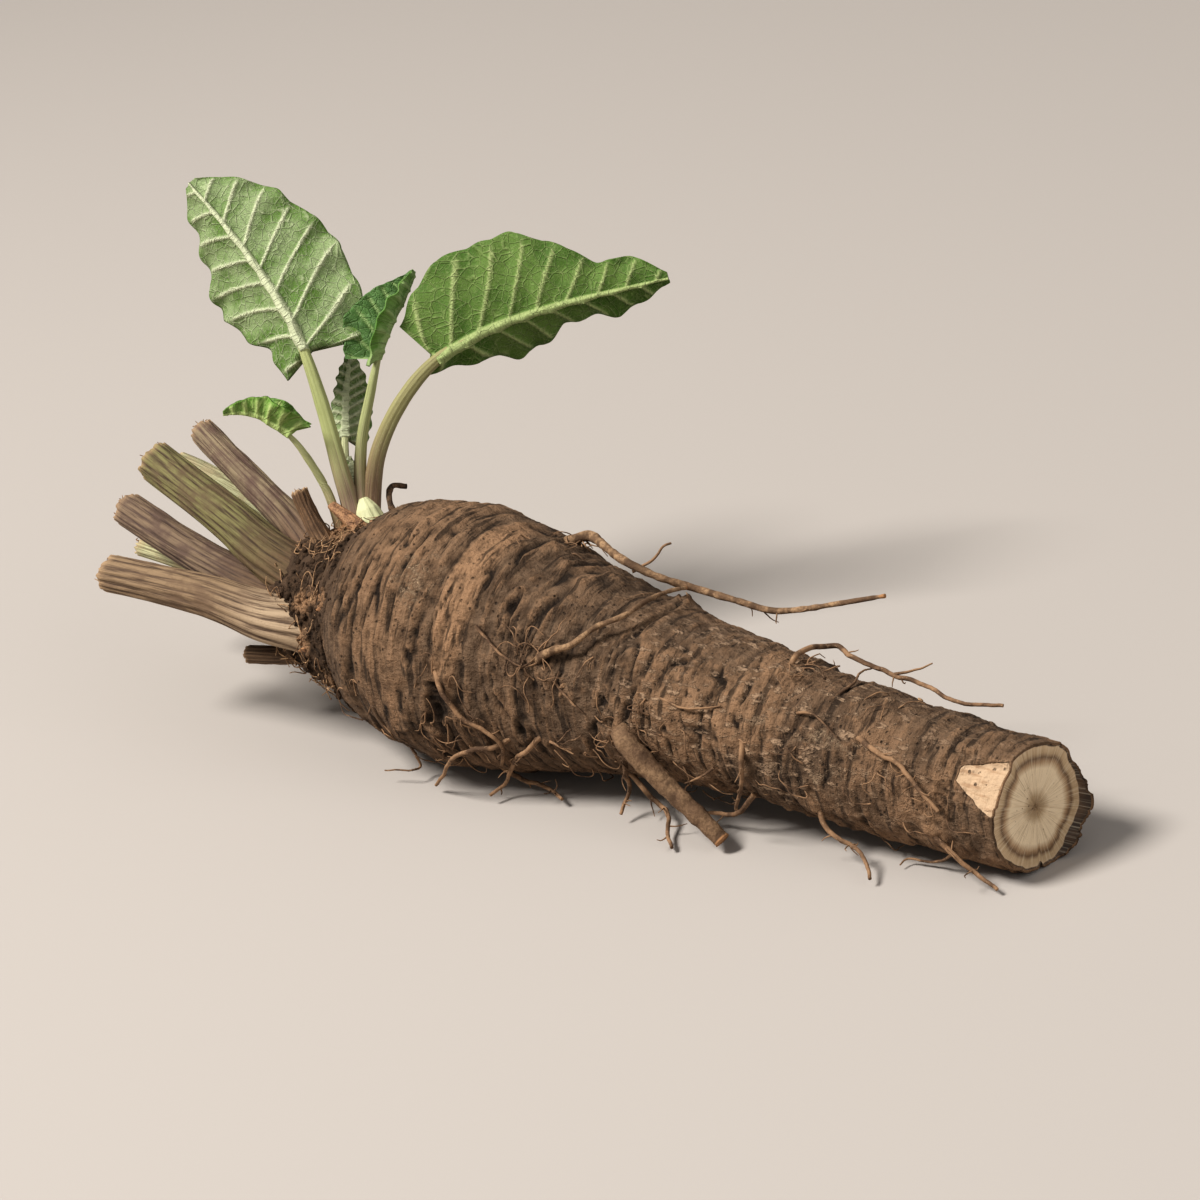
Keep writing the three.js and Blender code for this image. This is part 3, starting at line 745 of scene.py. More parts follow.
class Tree:
    """A geometry node tree under construction, with named inputs."""

    def __init__(self, name, **inputs):
        self.group = bpy.data.node_groups.new(name, "GeometryNodeTree")
        self.sockets = {}
        self.add_socket("Geometry", "NodeSocketGeometry")
        for key, kind in inputs.items():
            self.add_socket(key, kind)
        self.given = self.group.nodes.new("NodeGroupInput")

    def add_socket(self, key, kind):
        socket = self.group.interface.new_socket(key, in_out="INPUT", socket_type=kind)
        self.sockets[key] = socket.identifier

    def node(self, kind, settings=None, inputs=None, output=0):
        node = self.group.nodes.new(kind)
        for key, value in (settings or {}).items():
            setattr(node, key, value)
        for key, value in (inputs or {}).items():
            if isinstance(value, bpy.types.NodeSocket):
                self.group.links.new(value, node.inputs[key])
            else:
                node.inputs[key].default_value = value
        return node.outputs[output]

    def named(self, name):
        settings = {"data_type": "FLOAT"}
        return self.node("GeometryNodeInputNamedAttribute", settings, {"Name": name}, "Attribute")

    def finish(self, geometry):
        plain = self.node("GeometryNodeRealizeInstances", inputs={"Geometry": geometry})
        smooth = self.node("GeometryNodeSetShadeSmooth", inputs={"Geometry": plain})
        inputs = {"Geometry": smooth, "Material": self.given.outputs["Material"]}
        done = self.node("GeometryNodeSetMaterial", inputs=inputs)
        self.group.interface.new_socket("Geometry", in_out="OUTPUT", socket_type="NodeSocketGeometry")
        self.group.links.new(done, self.group.nodes.new("NodeGroupOutput").inputs[0])
        return self

    def grow(self, name, mesh, **values):
        """A new piece: what the tree makes of that mesh."""
        source = bpy.data.objects.new(name, mesh)
        bpy.context.scene.collection.objects.link(source)
        modifier = source.modifiers.new("grow", "NODES")
        modifier.node_group = self.group
        for key, value in values.items():
            modifier[self.sockets[key]] = value
        source.update_tag()
        graph = bpy.context.evaluated_depsgraph_get()
        made = bpy.data.meshes.new_from_object(source.evaluated_get(graph), depsgraph=graph)
        source.modifiers.remove(modifier)
        source.data = made
        made.name = name
        return source


def fibre_tree():
    """Round fibres along the edges of a mesh, as thick as the points say and wandering a little."""
    tree = Tree("fibres", Wander="NodeSocketFloat", Grain="NodeSocketFloat", Step="NodeSocketFloat",
                Sides="NodeSocketInt", Material="NodeSocketMaterial")
    given = tree.given.outputs
    curve = tree.node("GeometryNodeMeshToCurve", inputs={"Mesh": given["Geometry"]})
    curve = tree.node("GeometryNodeCurveSplineType", {"spline_type": "CATMULL_ROM"}, {"Curve": curve})
    inputs = {"Curve": curve, "Length": given["Step"]}
    curve = tree.node("GeometryNodeResampleCurve", {"mode": "LENGTH"}, inputs)
    noise_inputs = {"Scale": given["Grain"], "Detail": 2.0}
    drift = tree.node("ShaderNodeTexNoise", inputs=noise_inputs, output="Color")
    drift = tree.node("ShaderNodeVectorMath", {"operation": "SUBTRACT"}, {0: drift, 1: (0.5, 0.5, 0.5)})
    inputs = {0: drift, "Scale": given["Wander"]}
    drift = tree.node("ShaderNodeVectorMath", {"operation": "SCALE"}, inputs)
    curve = tree.node("GeometryNodeSetPosition", inputs={"Geometry": curve, "Offset": drift})
    inputs = {"Resolution": given["Sides"], "Radius": 1.0}
    circle = tree.node("GeometryNodeCurvePrimitiveCircle", inputs=inputs)
    inputs = {"Curve": curve, "Profile Curve": circle, "Scale": tree.named("thick"), "Fill Caps": True}
    return tree.finish(tree.node("GeometryNodeCurveToMesh", inputs=inputs))


def scatter_tree():
    """Copies of one small shape over a surface, thickest where the surface says."""
    tree = Tree("scatter", Shape="NodeSocketObject", Density="NodeSocketFloat", Seed="NodeSocketInt",
                Smallest="NodeSocketFloat", Largest="NodeSocketFloat", Tilt="NodeSocketFloat",
                Spin="NodeSocketFloat", Material="NodeSocketMaterial")
    given = tree.given.outputs
    multiply = {"operation": "MULTIPLY"}
    density = tree.node("ShaderNodeMath", multiply, {0: tree.named("grit"), 1: given["Density"]})
    inputs = {"Mesh": given["Geometry"], "Density": density, "Seed": given["Seed"]}
    points = tree.node("GeometryNodeDistributePointsOnFaces", inputs=inputs)
    rotation = points.node.outputs["Rotation"]
    settings = {"axis": "X", "pivot_axis": "Z"}
    inputs = {"Rotation": rotation, "Vector": (-1.0, 0.0, 0.0)}
    rotation = tree.node("FunctionNodeAlignRotationToVector", settings, inputs)
    reach = {0: given["Tilt"], 1: given["Tilt"], 2: given["Spin"]}
    highest = tree.node("ShaderNodeCombineXYZ", inputs=reach)
    lowest = tree.node("ShaderNodeVectorMath", {"operation": "SCALE"}, {0: highest, "Scale": -1.0})
    inputs = {0: lowest, 1: highest, "Seed": given["Seed"]}
    turned = tree.node("FunctionNodeRandomValue", {"data_type": "FLOAT_VECTOR"}, inputs)
    turned = tree.node("FunctionNodeEulerToRotation", inputs={"Euler": turned})
    inputs = {"Rotation": rotation, "Rotate By": turned}
    rotation = tree.node("FunctionNodeRotateRotation", {"rotation_space": "LOCAL"}, inputs)
    sizes = {2: given["Smallest"], 3: given["Largest"], "Seed": given["Seed"]}
    size = tree.node("FunctionNodeRandomValue", {"data_type": "FLOAT"}, sizes, output=1)
    shape = tree.node("GeometryNodeObjectInfo", inputs={"Object": given["Shape"]}, output="Geometry")
    inputs = {"Points": points, "Instance": shape, "Rotation": rotation, "Scale": size}
    return tree.finish(tree.node("GeometryNodeInstanceOnPoints", inputs=inputs))


FIBRES = fibre_tree()
SCATTER = scatter_tree()


def fibres(name, paths, material, wander=1.0, step=1.0, sides=7, grain=160.0):
    """One piece of fibres from paths of (places in mm, radii at the start and the end)."""
    points, edges, thick = [], [], []
    for places, first, last in paths:
        places = np.clip(places, np.array(CAD_BOX[0]) / MM + 1.3, np.array(CAD_BOX[1]) / MM - 1.3)
        edges += [(len(points) + k, len(points) + k + 1) for k in range(len(places) - 1)]
        points += (places * MM).tolist()
        share = np.linspace(0, 1, len(places))
        thick += ((first + (last - first) * share) * MM).tolist()
    mesh = bpy.data.meshes.new(name)
    mesh.from_pydata(points, edges, [])
    mesh.attributes.new("thick", "FLOAT", "POINT").data.foreach_set("value", thick)
    return FIBRES.grow(name, mesh, Wander=wander * MM, Grain=grain, Step=step * MM, Sides=sides,
                       Material=material)


def scattered(name, surface, mark, shape, material, density, sizes, tilt, spin, seed):
    """One piece of small shapes over the surface, where its mark is strong."""
    ground = surface.data.copy()
    values = np.zeros(len(ground.vertices), np.float32)
    ground.attributes[mark].data.foreach_get("value", values)
    places = np.zeros(len(values) * 3)
    ground.vertices.foreach_get("co", places)
    places = places.reshape(-1, 3) / MM
    # Nothing is scattered where it would stand out of the root's own outline.
    values *= (places[:, 2] > 2.5) & (places[:, 1] > -36.6) & (np.abs(places[:, 0]) < 203)
    ground.attributes.new("grit", "FLOAT", "POINT").data.foreach_set("value", values)
    made = SCATTER.grow(name, ground, Shape=shape, Density=density, Seed=seed, Smallest=sizes[0],
                        Largest=sizes[1], Tilt=math.radians(tilt), Spin=math.radians(spin),
                        Material=material)
    for layer in [layer.name for layer in made.data.attributes if layer.name in ("grit", mark)]:
        made.data.attributes.remove(made.data.attributes[layer])
    bpy.data.objects.remove(shape)
    return made


def small_shape(name, rows, radii, flat=1.0, sides=5):
    """A small tapering shape along places in mm, for scattering."""
    route = spline(rows, 4)
    share = np.linspace(0, 1, len(radii))
    places, along = route(share)
    side, up = frames(along, (0, 1, 0))
    angle = np.arange(sides) * 2 * math.pi / sides
    radius = np.array(radii)[:, None, None]
    ring = side[:, None] * np.sin(angle)[:, None] * flat + up[:, None] * np.cos(angle)[:, None]
    return piece(name, [], [solid(Grid(places[:, None] + ring * radius))])


def crumb(name):
    return small_shape(name, [(0, 0, -0.35), (0.1, 0, 0), (0, 0.05, 0.4)], [0.3, 0.5, 0.4, 0.15])


# ---- tubes: side roots, stalks and stubs -------------------------------------------------------------

def tube(route, radii, ref=(0, 0, 1), rows=60, columns=20, shape=None, marks=None, spread=1.0):
    """A grid of rings along a route; shape gives the share of the radius from share and angle."""
    at = spline(route)
    share = np.linspace(0, 1, rows) ** spread
    places, along = at(share)
    side, up = frames(along, ref)
    angle = np.arange(columns) * 2 * math.pi / columns
    radius = np.interp(share, np.linspace(0, 1, len(radii)), radii)[:, None]
    down, turn = np.meshgrid(share, angle, indexing="ij")
    if shape is not None:
        radius = radius * shape(down, turn, places[:, None] + np.zeros((1, columns, 1)))
    ring = side[:, None] * np.sin(turn)[..., None] + up[:, None] * np.cos(turn)[..., None]
    points = places[:, None] + ring * (radius * np.ones_like(turn))[..., None]
    attributes = {"run": down, "round_y": np.sin(turn), "round_z": np.cos(turn)}
    attributes.update(marks(down, turn, points) if marks else {})
    return Grid(points, attributes)


THICK_ROOT = [(80, 86, -3), (86, 92, 2.5), (97, 112, 5.5), (107, 124, 9.5), (114, 131, 13.2)]
LONG_ROOT = [
    (31, -30, -1), (37, -34, 4), (46, -29, 4.4), (54, -24, 4.6), (62, -22, 4.8), (70, -26, 4.4),
    (79, -38, 5), (93, -40, 6.4), (105, -39, 7.4), (115, -38, 10.6), (127, -38, 16), (142, -37, 22.7),
]
CROSSING_ROOT = [
    (52, 60, -1), (56, 54, 1.4), (60, 49, 2.1), (65, 44, 3), (70, 31, 3.4), (76, 18, 3.7),
    (78, -1, 3.8), (79, -16, 4.2), (78, -30, 4.4),
]


def side_roots():
    def gnarled(size, depth):
        def shape(share, turn, places):
            ring_noise = noise(places, size, 5)
            return 1 + depth * ring_noise + 0.5 * depth * noise(
                np.stack([np.cos(turn) * 2, np.sin(turn) * 2, share * 40], -1), 1.0, 9)
        return shape

    def knots(share, turn, points):
        return {"knot": between(0.1, 0.5, noise(points, (2.2, 4, 4), 21)),
                "cut": (share > 0.985) * 1.0}

    thick = tube(off_skin(THICK_ROOT), (3.9, 3.1, 2.9, 2.7, 2.4), rows=110, columns=28,
                 shape=gnarled(2.6, 0.13), marks=knots)
    long = tube(off_skin(LONG_ROOT), (1.7, 1.25, 1.1, 1.0, 0.9, 0.8, 0.6), rows=190, columns=14,
                shape=gnarled(2.0, 0.16), marks=knots)
    crossing = tube(off_skin(CROSSING_ROOT), (1.5, 0.85, 0.8, 0.7, 0.6), rows=110, columns=12,
                    shape=gnarled(1.6, 0.16), marks=knots)
    pale = side_root_material("side_root_skin", (0.25, 0.158, 0.09))
    dull = side_root_material("thin_root_skin", (0.36, 0.23, 0.13))
    settle(piece("thick_side_root", [pale], [solid(thick)]), "side_root", "side_root_thick")
    settle(piece("long_side_root", [dull], [solid(long)]), "side_root", "side_root_long")
    settle(piece("crossing_side_root", [dull], [solid(crossing)]), "side_root", "side_root_crossing")


ROOTLETS = [
    [(20, 75, -1), (24, 84, 1.6), (29, 96, 2), (35, 102, 2.2), (38, 112, 2.2), (33, 126, 3)],
    [(51, 106, -1), (46, 113, 2), (38, 124, 2.4), (30, 138, 5), (27, 136, 10)],
    [(40, 110, -1), (35, 113, 2), (27, 114, 3), (20, 119, 4), (12, 130, 5.5), (5, 138, 8)],
    [(24, 136, -1), (30, 146, 3), (39, 147, 5.4), (50, 141, 9)],
    [(82, 97, -1), (79, 118, 2.2), (77, 130, 2.6), (74, 139, 5.5), (74, 138, 11)],
    [(122, 66, -1), (124, 84, 2), (123, 99, 2.6), (117, 124, 4.6)],
    [(121, 122, -1), (114, 137, 3.4), (107, 142, 5), (98, 144, 6.6)],
    [(73, 138, -1), (80, 142, 4), (88, 141, 8), (95, 133, 15), (100, 129, 19)],
    [(145, 112, -1), (147, 119, 2.6), (151, 124, 4.4), (159, 126, 6.2), (166, 124, 13)],
    [(158, 40, -1), (166, 47, 2.1), (175, 52, 2.3), (182, 65, 2.3), (188, 77, 2)],
    [(181, 103, -1), (189, 116, 1.9), (195, 127, 3.6), (202, 131, 6.6)],
    [(127, 8, -1), (127, -12, 2.4), (130, -34, 4.6), (138, -31, 4), (150, -36, 3), (162, -35, 3.2),
     (172, -28, 2), (180, -33, 3), (187, -37, 5)],
]
FINE_ROOTLETS = [
    [(-4, 131, 0), (-6, 142, 3.3), (-6, 138, 5.5), (-15, 136, 8.8)],
    [(32, 50, 0), (42, 60, 1.1), (50, 63, 1.8), (54, 59, 1.1)],
    [(54, 108, 0), (63, 110, 1.9)],
    [(55, 61, 0), (66, 75, 1), (70, 81, 0.6)],
    [(95, 58, 0), (102, 60, 1.1), (109, 57, 1.2), (115, 51, 0.6)],
    [(112, 99, 0), (106, 109, 1.7), (99, 119, 1.9)],
    [(187, 125, 0), (178, 143, 2.4), (169, 143, 3.5), (168, 139, 5.7)],
    [(150, -36, 3), (157, -36, 6), (162, -37, 9.6)],
    [(146, 11, 0), (147, -5, 0.9), (145, -20, 1.8), (143, -38, 2.7)],
    [(138, 38, 0), (144, 36, 1.4), (153, 46, 0.9)],
]


def rootlets():
    paths = [(off_skin(rows), 0.85, 0.5) for rows in ROOTLETS]
    coarse = fibres("rootlets", paths, ROOTLET, wander=1.6, step=0.7, sides=9)
    settle(coarse, "side_root", *[f"rootlet_{k + 1}" for k in range(len(ROOTLETS))])

    paths = [(off_skin(rows), 0.5, 0.22) for rows in FINE_ROOTLETS]
    paths.append(([(56, 17, 58), (60, 22, 60), (62, 25, 63), (63, 28, 63)], 0.5, 0.35))
    settled = np.random.default_rng(17)
    for rows in ROOTLETS + [LONG_ROOT]:
        # Short hairs branch off each rootlet along its length.
        at = spline(off_skin(rows))
        for share in settled.uniform(0.25, 0.95, 5):
            place, along = at(share)
            lean = unit(along * 0.6 + settled.normal(0, 1, 3) * (1, 1, 0.5))
            reach = settled.uniform(2, 6)
            bend = settled.normal(0, 0.6, 3)
            hair = [place, place + lean * reach * 0.5 + bend, place + lean * reach + bend * 0.5]
            hair = np.maximum(hair, (-1e3, -38, 0.5))
            paths.append((hair, 0.26, 0.12))
    for x, degrees, spread, number in [(52, 60, 5, 16), (84, 92, 5, 14), (20, 95, 6, 14), (34, -30, 4, 8),
                                       (128, 0, 4, 8), (60, 125, 16, 16), (100, 110, 18, 14),
                                       (150, 95, 20, 12), (5, 120, 16, 12), (180, 60, 14, 8)]:
        # Curly fibres lie on the skin round each knot and side root.
        for _ in range(number):
            start = np.array([x + settled.normal(0, spread),
                              degrees + settled.normal(0, spread * 1.8), 0])
            heading = settled.uniform(0, 2 * math.pi)
            rows = [start]
            for step in range(5):
                heading += settled.normal(0, 0.8)
                move = (2.2 * math.cos(heading), 4.5 * math.sin(heading), 0)
                lifted = 0.7 + 1.2 * math.sin(step * 0.8) + settled.uniform(0, 0.5)
                rows.append(np.array([*(rows[-1] + move)[:2], lifted]))
            places = np.maximum(off_skin(rows), (-1e3, -38, 0.4))
            paths.append((places, 0.24, 0.12))
    fine = fibres("fine_rootlets", paths, ROOTLET, wander=1.0, step=0.9, sides=5, grain=240.0)
    settle(fine, "side_root")


def crumbs_and_hairs(skin):
    crumbs = scattered("soil_crumbs", skin, "soil", crumb("crumb"), SOIL, 55000, (0.6, 1.7), 60, 180, 3)
    settle(crumbs, "soil")
    grit = scattered("skin_grit", skin, "crevice", crumb("grain"), SOIL, 15000, (0.35, 0.9), 60, 180, 4)
    settle(grit, "soil")
    shape = small_shape("flake", [(0, 0, -0.2), (1.1, 0, 0.3), (2.4, 0.3, 0.5)], [0.7, 0.9, 0.7, 0.2],
                        flat=0.22, sides=6)
    flakes = scattered("skin_flakes", skin, "ridge", shape, STRAW, 2600, (0.35, 1.0), 25, 75, 5)
    settle(flakes, "bark")


# ---- the crown ---------------------------------------------------------------------------------------

def crown_soil():
    """A crumbly collar of soil round the neck, with holes and old leaf bases under it."""
    columns = 200
    stations = np.linspace(-63, -31, 60)
    angle = np.arange(columns) * 2 * math.pi / columns
    x, turn = np.meshgrid(stations, angle, indexing="ij")
    plain = on_root(x, turn, girth(x))
    rim = bump(x, -46, 15) ** 0.6
    lumps = layered(plain, 6, 101, 4)
    hole = between(0.28, 0.6, noise(plain, 6.5, 107))
    reach = girth(x) - 3.2 + rim * (4.6 + 2.2 * lumps + 0.7 * layered(plain, 1.8, 111)) - 3.0 * hole * rim
    points = on_root(x, turn, reach)
    points[..., 2] = np.maximum(points[..., 2], 0)
    # The holes carry the mark that the soil material paints as shade.
    marks = {"crevice": hole, "straw": between(0.0, 0.5, noise(plain, (9, 5, 5), 113)),
             "soil": np.ones_like(x)}
    collar = piece("soil_collar", [SOIL], [solid(Grid(points, marks))])
    settle(collar, "soil", "crown_soil")
    loose = scattered("collar_crumbs", collar, "soil", crumb("clod"), SOIL, 150000,
                      (0.6, 2.4), 60, 180, 6)
    settle(loose, "soil")
    shape = small_shape("leaf_base", [(-1.5, 0, -0.8), (1.5, 0, 0.6), (4.5, 0.3, 1.6)],
                        [1.4, 1.8, 1.5, 1.0, 0.3], flat=0.25, sides=8)
    torn = scattered("torn_leaf_bases", collar, "straw", shape, SCAR, 11000, (0.6, 1.9), 26, 40, 8)
    settle(torn, "dry_scale")
    settled = np.random.default_rng(5)
    paths = []
    for _ in range(130):
        x0, turn0 = settled.uniform(-60, -32), settled.uniform(0, 360)
        rows = [(x0, turn0, -0.5)]
        for step in range(4):
            rows.append((rows[-1][0] - settled.uniform(-1, 3), rows[-1][1] + settled.normal(0, 6),
                         1.2 + step * settled.uniform(0, 1.3)))
        paths.append((np.maximum(off_skin(rows), (-1e3, -38, 0.5)), 0.3, 0.12))
    settle(fibres("collar_fibres", paths, STRAW, wander=1.6, step=1.0, sides=5), "dry_scale")


STUBS = {  # the route, then radius, how far the foot spreads, how flat the foot is, then the colours
    "cut_stalk_1": ([(-62, 3, 50), (-78, 7, 61), (-103, 12, 74), (-125, 18, 83)], 4.4, 1.6, 0.9,
                    ((0.26, 0.20, 0.125), (0.09, 0.055, 0.042), (0.12, 0.072, 0.056), (0.18, 0.11, 0.07))),
    "cut_stalk_2": ([(-56, -6, 46), (-71, -9.5, 58), (-92, -9, 71), (-124, -4, 82)], 6.4, 1.55, 0.85,
                    ((0.185, 0.165, 0.07), (0.06, 0.038, 0.022), (0.115, 0.078, 0.043),
                     (0.15, 0.093, 0.053))),
    "cut_stalk_3": ([(-62, -8, 40), (-85, -12, 49), (-112, -10, 56), (-146, -3, 62)], 5.6, 1.5, 0.85,
                    ((0.20, 0.14, 0.09), (0.07, 0.043, 0.034), (0.105, 0.066, 0.05), (0.17, 0.105, 0.063))),
    "cut_stalk_4": ([(-50, -14, 39), (-64, -22, 44), (-87, -26, 50), (-129, -29, 53)], 5.9, 2.1, 0.65,
                    ((0.25, 0.17, 0.10), (0.085, 0.052, 0.033), (0.14, 0.088, 0.053), (0.42, 0.31, 0.205))),
    "cut_stalk_5": ([(-60, 3, 38), (-88, 2, 39), (-118, 3, 41), (-157, 6, 43)], 3.1, 1.7, 0.8,
                    ((0.46, 0.44, 0.26), (0.17, 0.15, 0.08), (0.34, 0.27, 0.15), (0.28, 0.18, 0.11))),
    "cut_stalk_6": ([(-62, 8, 44), (-92, 12, 58), (-124, 15, 66), (-141, 16, 69)], 5.2, 1.5, 0.8,
                    ((0.46, 0.45, 0.27), (0.17, 0.15, 0.08), (0.33, 0.27, 0.16), (0.28, 0.18, 0.11))),
    "cut_stalk_7": ([(-54, -8, 30), (-66, -14, 27), (-84, -18, 26)], 2.9, 1.7, 0.75,
                    ((0.19, 0.12, 0.07), (0.06, 0.035, 0.02), (0.11, 0.066, 0.038), (0.2, 0.125, 0.075))),
    "cut_stalk_8": ([(-56, 12, 34), (-74, 20, 34), (-96, 27, 35)], 4.6, 1.8, 0.75,
                    ((0.23, 0.17, 0.10), (0.08, 0.05, 0.03), (0.14, 0.09, 0.055), (0.2, 0.125, 0.075))),
    "dry_stub": ([(-52, -2, 58), (-58, -1, 68), (-62, 0, 77)], 2.7, 1.8, 0.8,
                 ((0.27, 0.155, 0.08), (0.05, 0.028, 0.016), (0.13, 0.075, 0.04), (0.25, 0.15, 0.08))),
}


def stub(name, route, radius, flare, flat, colours, seed):
    """A cut leaf stalk: ribbed and grooved, spread at the foot, torn and pithy at the cut."""
    columns = 80
    at = spline(route)
    angle = np.arange(columns) * 2 * math.pi / columns
    circle = np.stack([np.cos(angle), np.sin(angle), angle * 0], -1)
    torn = layered(circle * 3, 1.0, seed, 3)
    ribs = 14 + seed % 4
    rows = []

    def ring(share, size, back, crestiness=1.0):
        places, along = at(np.full(columns, share) if np.isscalar(share) else share)
        side, up = frames(along, (1, 0, 0) if name == "dry_stub" else (0, 0, 1))
        phase = ribs * angle + 3.4 * noise(circle * 2 + (0, 0, 3 * np.mean(share)), 1.0, seed + 5)
        phase = phase + 0.8 * np.mean(share)
        crest = np.abs(np.cos(phase / 2)) ** 0.8
        squash = 1 - (1 - flat) * (1 - share) ** 2 * np.cos(angle) ** 2
        spread = 1 + (flare - 1) * (1 - share) ** 3
        fine = noise(circle * 5 + (0, 0, 9 * np.mean(share)), 1.0, seed + 9)
        reach = radius * spread * squash * (0.93 + 0.09 * crestiness * crest + 0.05 * fine) * size
        out = side * np.sin(angle)[:, None] + up * np.cos(angle)[:, None]
        rows.append((places + out * reach[:, None] - along * np.reshape(back, (-1, 1)), crest,
                     np.mean(share), size))

    end = 0.985 - 0.02 * (torn + 0.6)
    for share in np.linspace(0, 1, 76):
        ring(share * end, 1.0, 0.0)
    pith = layered(circle * 4, 1.0, seed + 13, 2)
    rim = 0.25 * torn
    ring(end, 0.93, rim - 0.3, 0.7)
    ring(end, 0.86, rim + 0.3, 0.3)
    for size, depth in ((0.80, 1.3), (0.68, 1.9), (0.52, 1.5), (0.36, 2.3), (0.2, 1.6), (0.06, 1.9)):
        ring(end, size, depth + 1.1 * pith * math.sin(size * 40 + seed) + 0.5 * torn, 0.0)
    points = np.array([row[0] for row in rows])
    crest = np.array([row[1] for row in rows])
    share = np.array([row[2] for row in rows])[:, None] * np.ones((1, columns))
    size = np.array([row[3] for row in rows])[:, None] * np.ones((1, columns))
    points[..., 2] = np.maximum(points[..., 2], 0)
    marks = {
        "run": share * at.length / 60, "crest": crest,
        "round_y": np.sin(angle) * np.ones_like(share), "round_z": np.cos(angle) * np.ones_like(share),
        "foot": 1 - between(0.12, 0.42, share),
        "cut": between(0.97, 0.9, size) + between(0.93, 0.985, share) * 0.5,
        "hollow": between(0.83, 0.66, size) * between(-0.3, 0.3, np.sin(size * 35 + 3 * pith)),
    }
    material = stub_material(name + "_skin", *colours)
    settle(piece(name + "_skin", [material], [solid(Grid(points, marks))]), "cut_stalk", name)
    paths = []
    settled = np.random.default_rng(seed)
    tip, along = at(1.0)
    for _ in range(16):
        # Loose fibres stand out of the cut.
        turn, reach = settled.uniform(0, 2 * math.pi), radius * settled.uniform(0.35, 0.9)
        side, up = frames(along, (1, 0, 0.01))
        start = tip - along * 2.6 + (side * math.sin(turn) + up * math.cos(turn)) * reach
        paths.append(([start, start + along * settled.uniform(1.2, 2.0),
                       start + along * settled.uniform(2.2, 2.8) + settled.normal(0, 0.5, 3)], 0.3, 0.1))
    return paths


def stubs():
    paths = []
    for seed, (name, values) in enumerate(STUBS.items()):
        paths += stub(name, *values, 200 + 31 * seed)
    settle(fibres("cut_fibres", paths, STRAW, wander=0.6, step=0.7, sides=5), "cut_stalk")


def shoot_base():
    def ribbed(share, turn, places):
        return 1 + 0.035 * np.cos(11 * turn + 2 * share) + 0.03 * noise(places, 3, 7)

    grid = tube([(-42, 11, 50), (-47, 13, 60), (-51, 15, 69)], (6.5, 6.2, 5.8, 5.3, 4.7, 3.6, 1.5),
                rows=70, columns=56, shape=ribbed)
    skin = stalk_material("shoot_skin", (0.55, 0.47, 0.27), (0.56, 0.56, 0.32))
    settle(piece("shoot_skin", [skin], [solid(grid)]), "shoot", "shoot_base")

    def papery(share, turn, places):
        return (1 - 0.5 * np.cos(turn) ** 2 * share) * (1 + 0.08 * np.cos(9 * turn))

    grid = tube([(-34, 2, 60), (-43, 3, 66.5), (-52, 3, 72)], (3.0, 2.9, 2.4, 1.6), rows=40, columns=36,
                shape=papery)
    brown = plain_material("brown_scale", (0.16, 0.075, 0.035), (0.40, 0.215, 0.105), 2.0, 0.7)
    settle(piece("brown_dry_scale", [brown], [solid(grid)]), "dry_scale", "dry_scale")
    hook = [(-40, 18, 56), (-45, 20, 66), (-47, 24, 69.5), (-45, 28, 68)]
    grid = tube(hook, (1.1, 1.1, 0.95, 0.8), rows=50, columns=12,
                shape=lambda share, turn, places: 1 + 0.2 * noise(places, 1.5, 3))
    settle(piece("dark_tendril", [DARK_SCALE], [solid(grid)]), "dry_scale", "dry_tendril")


# ---- the leaves --------------------------------------------------------------------------------------

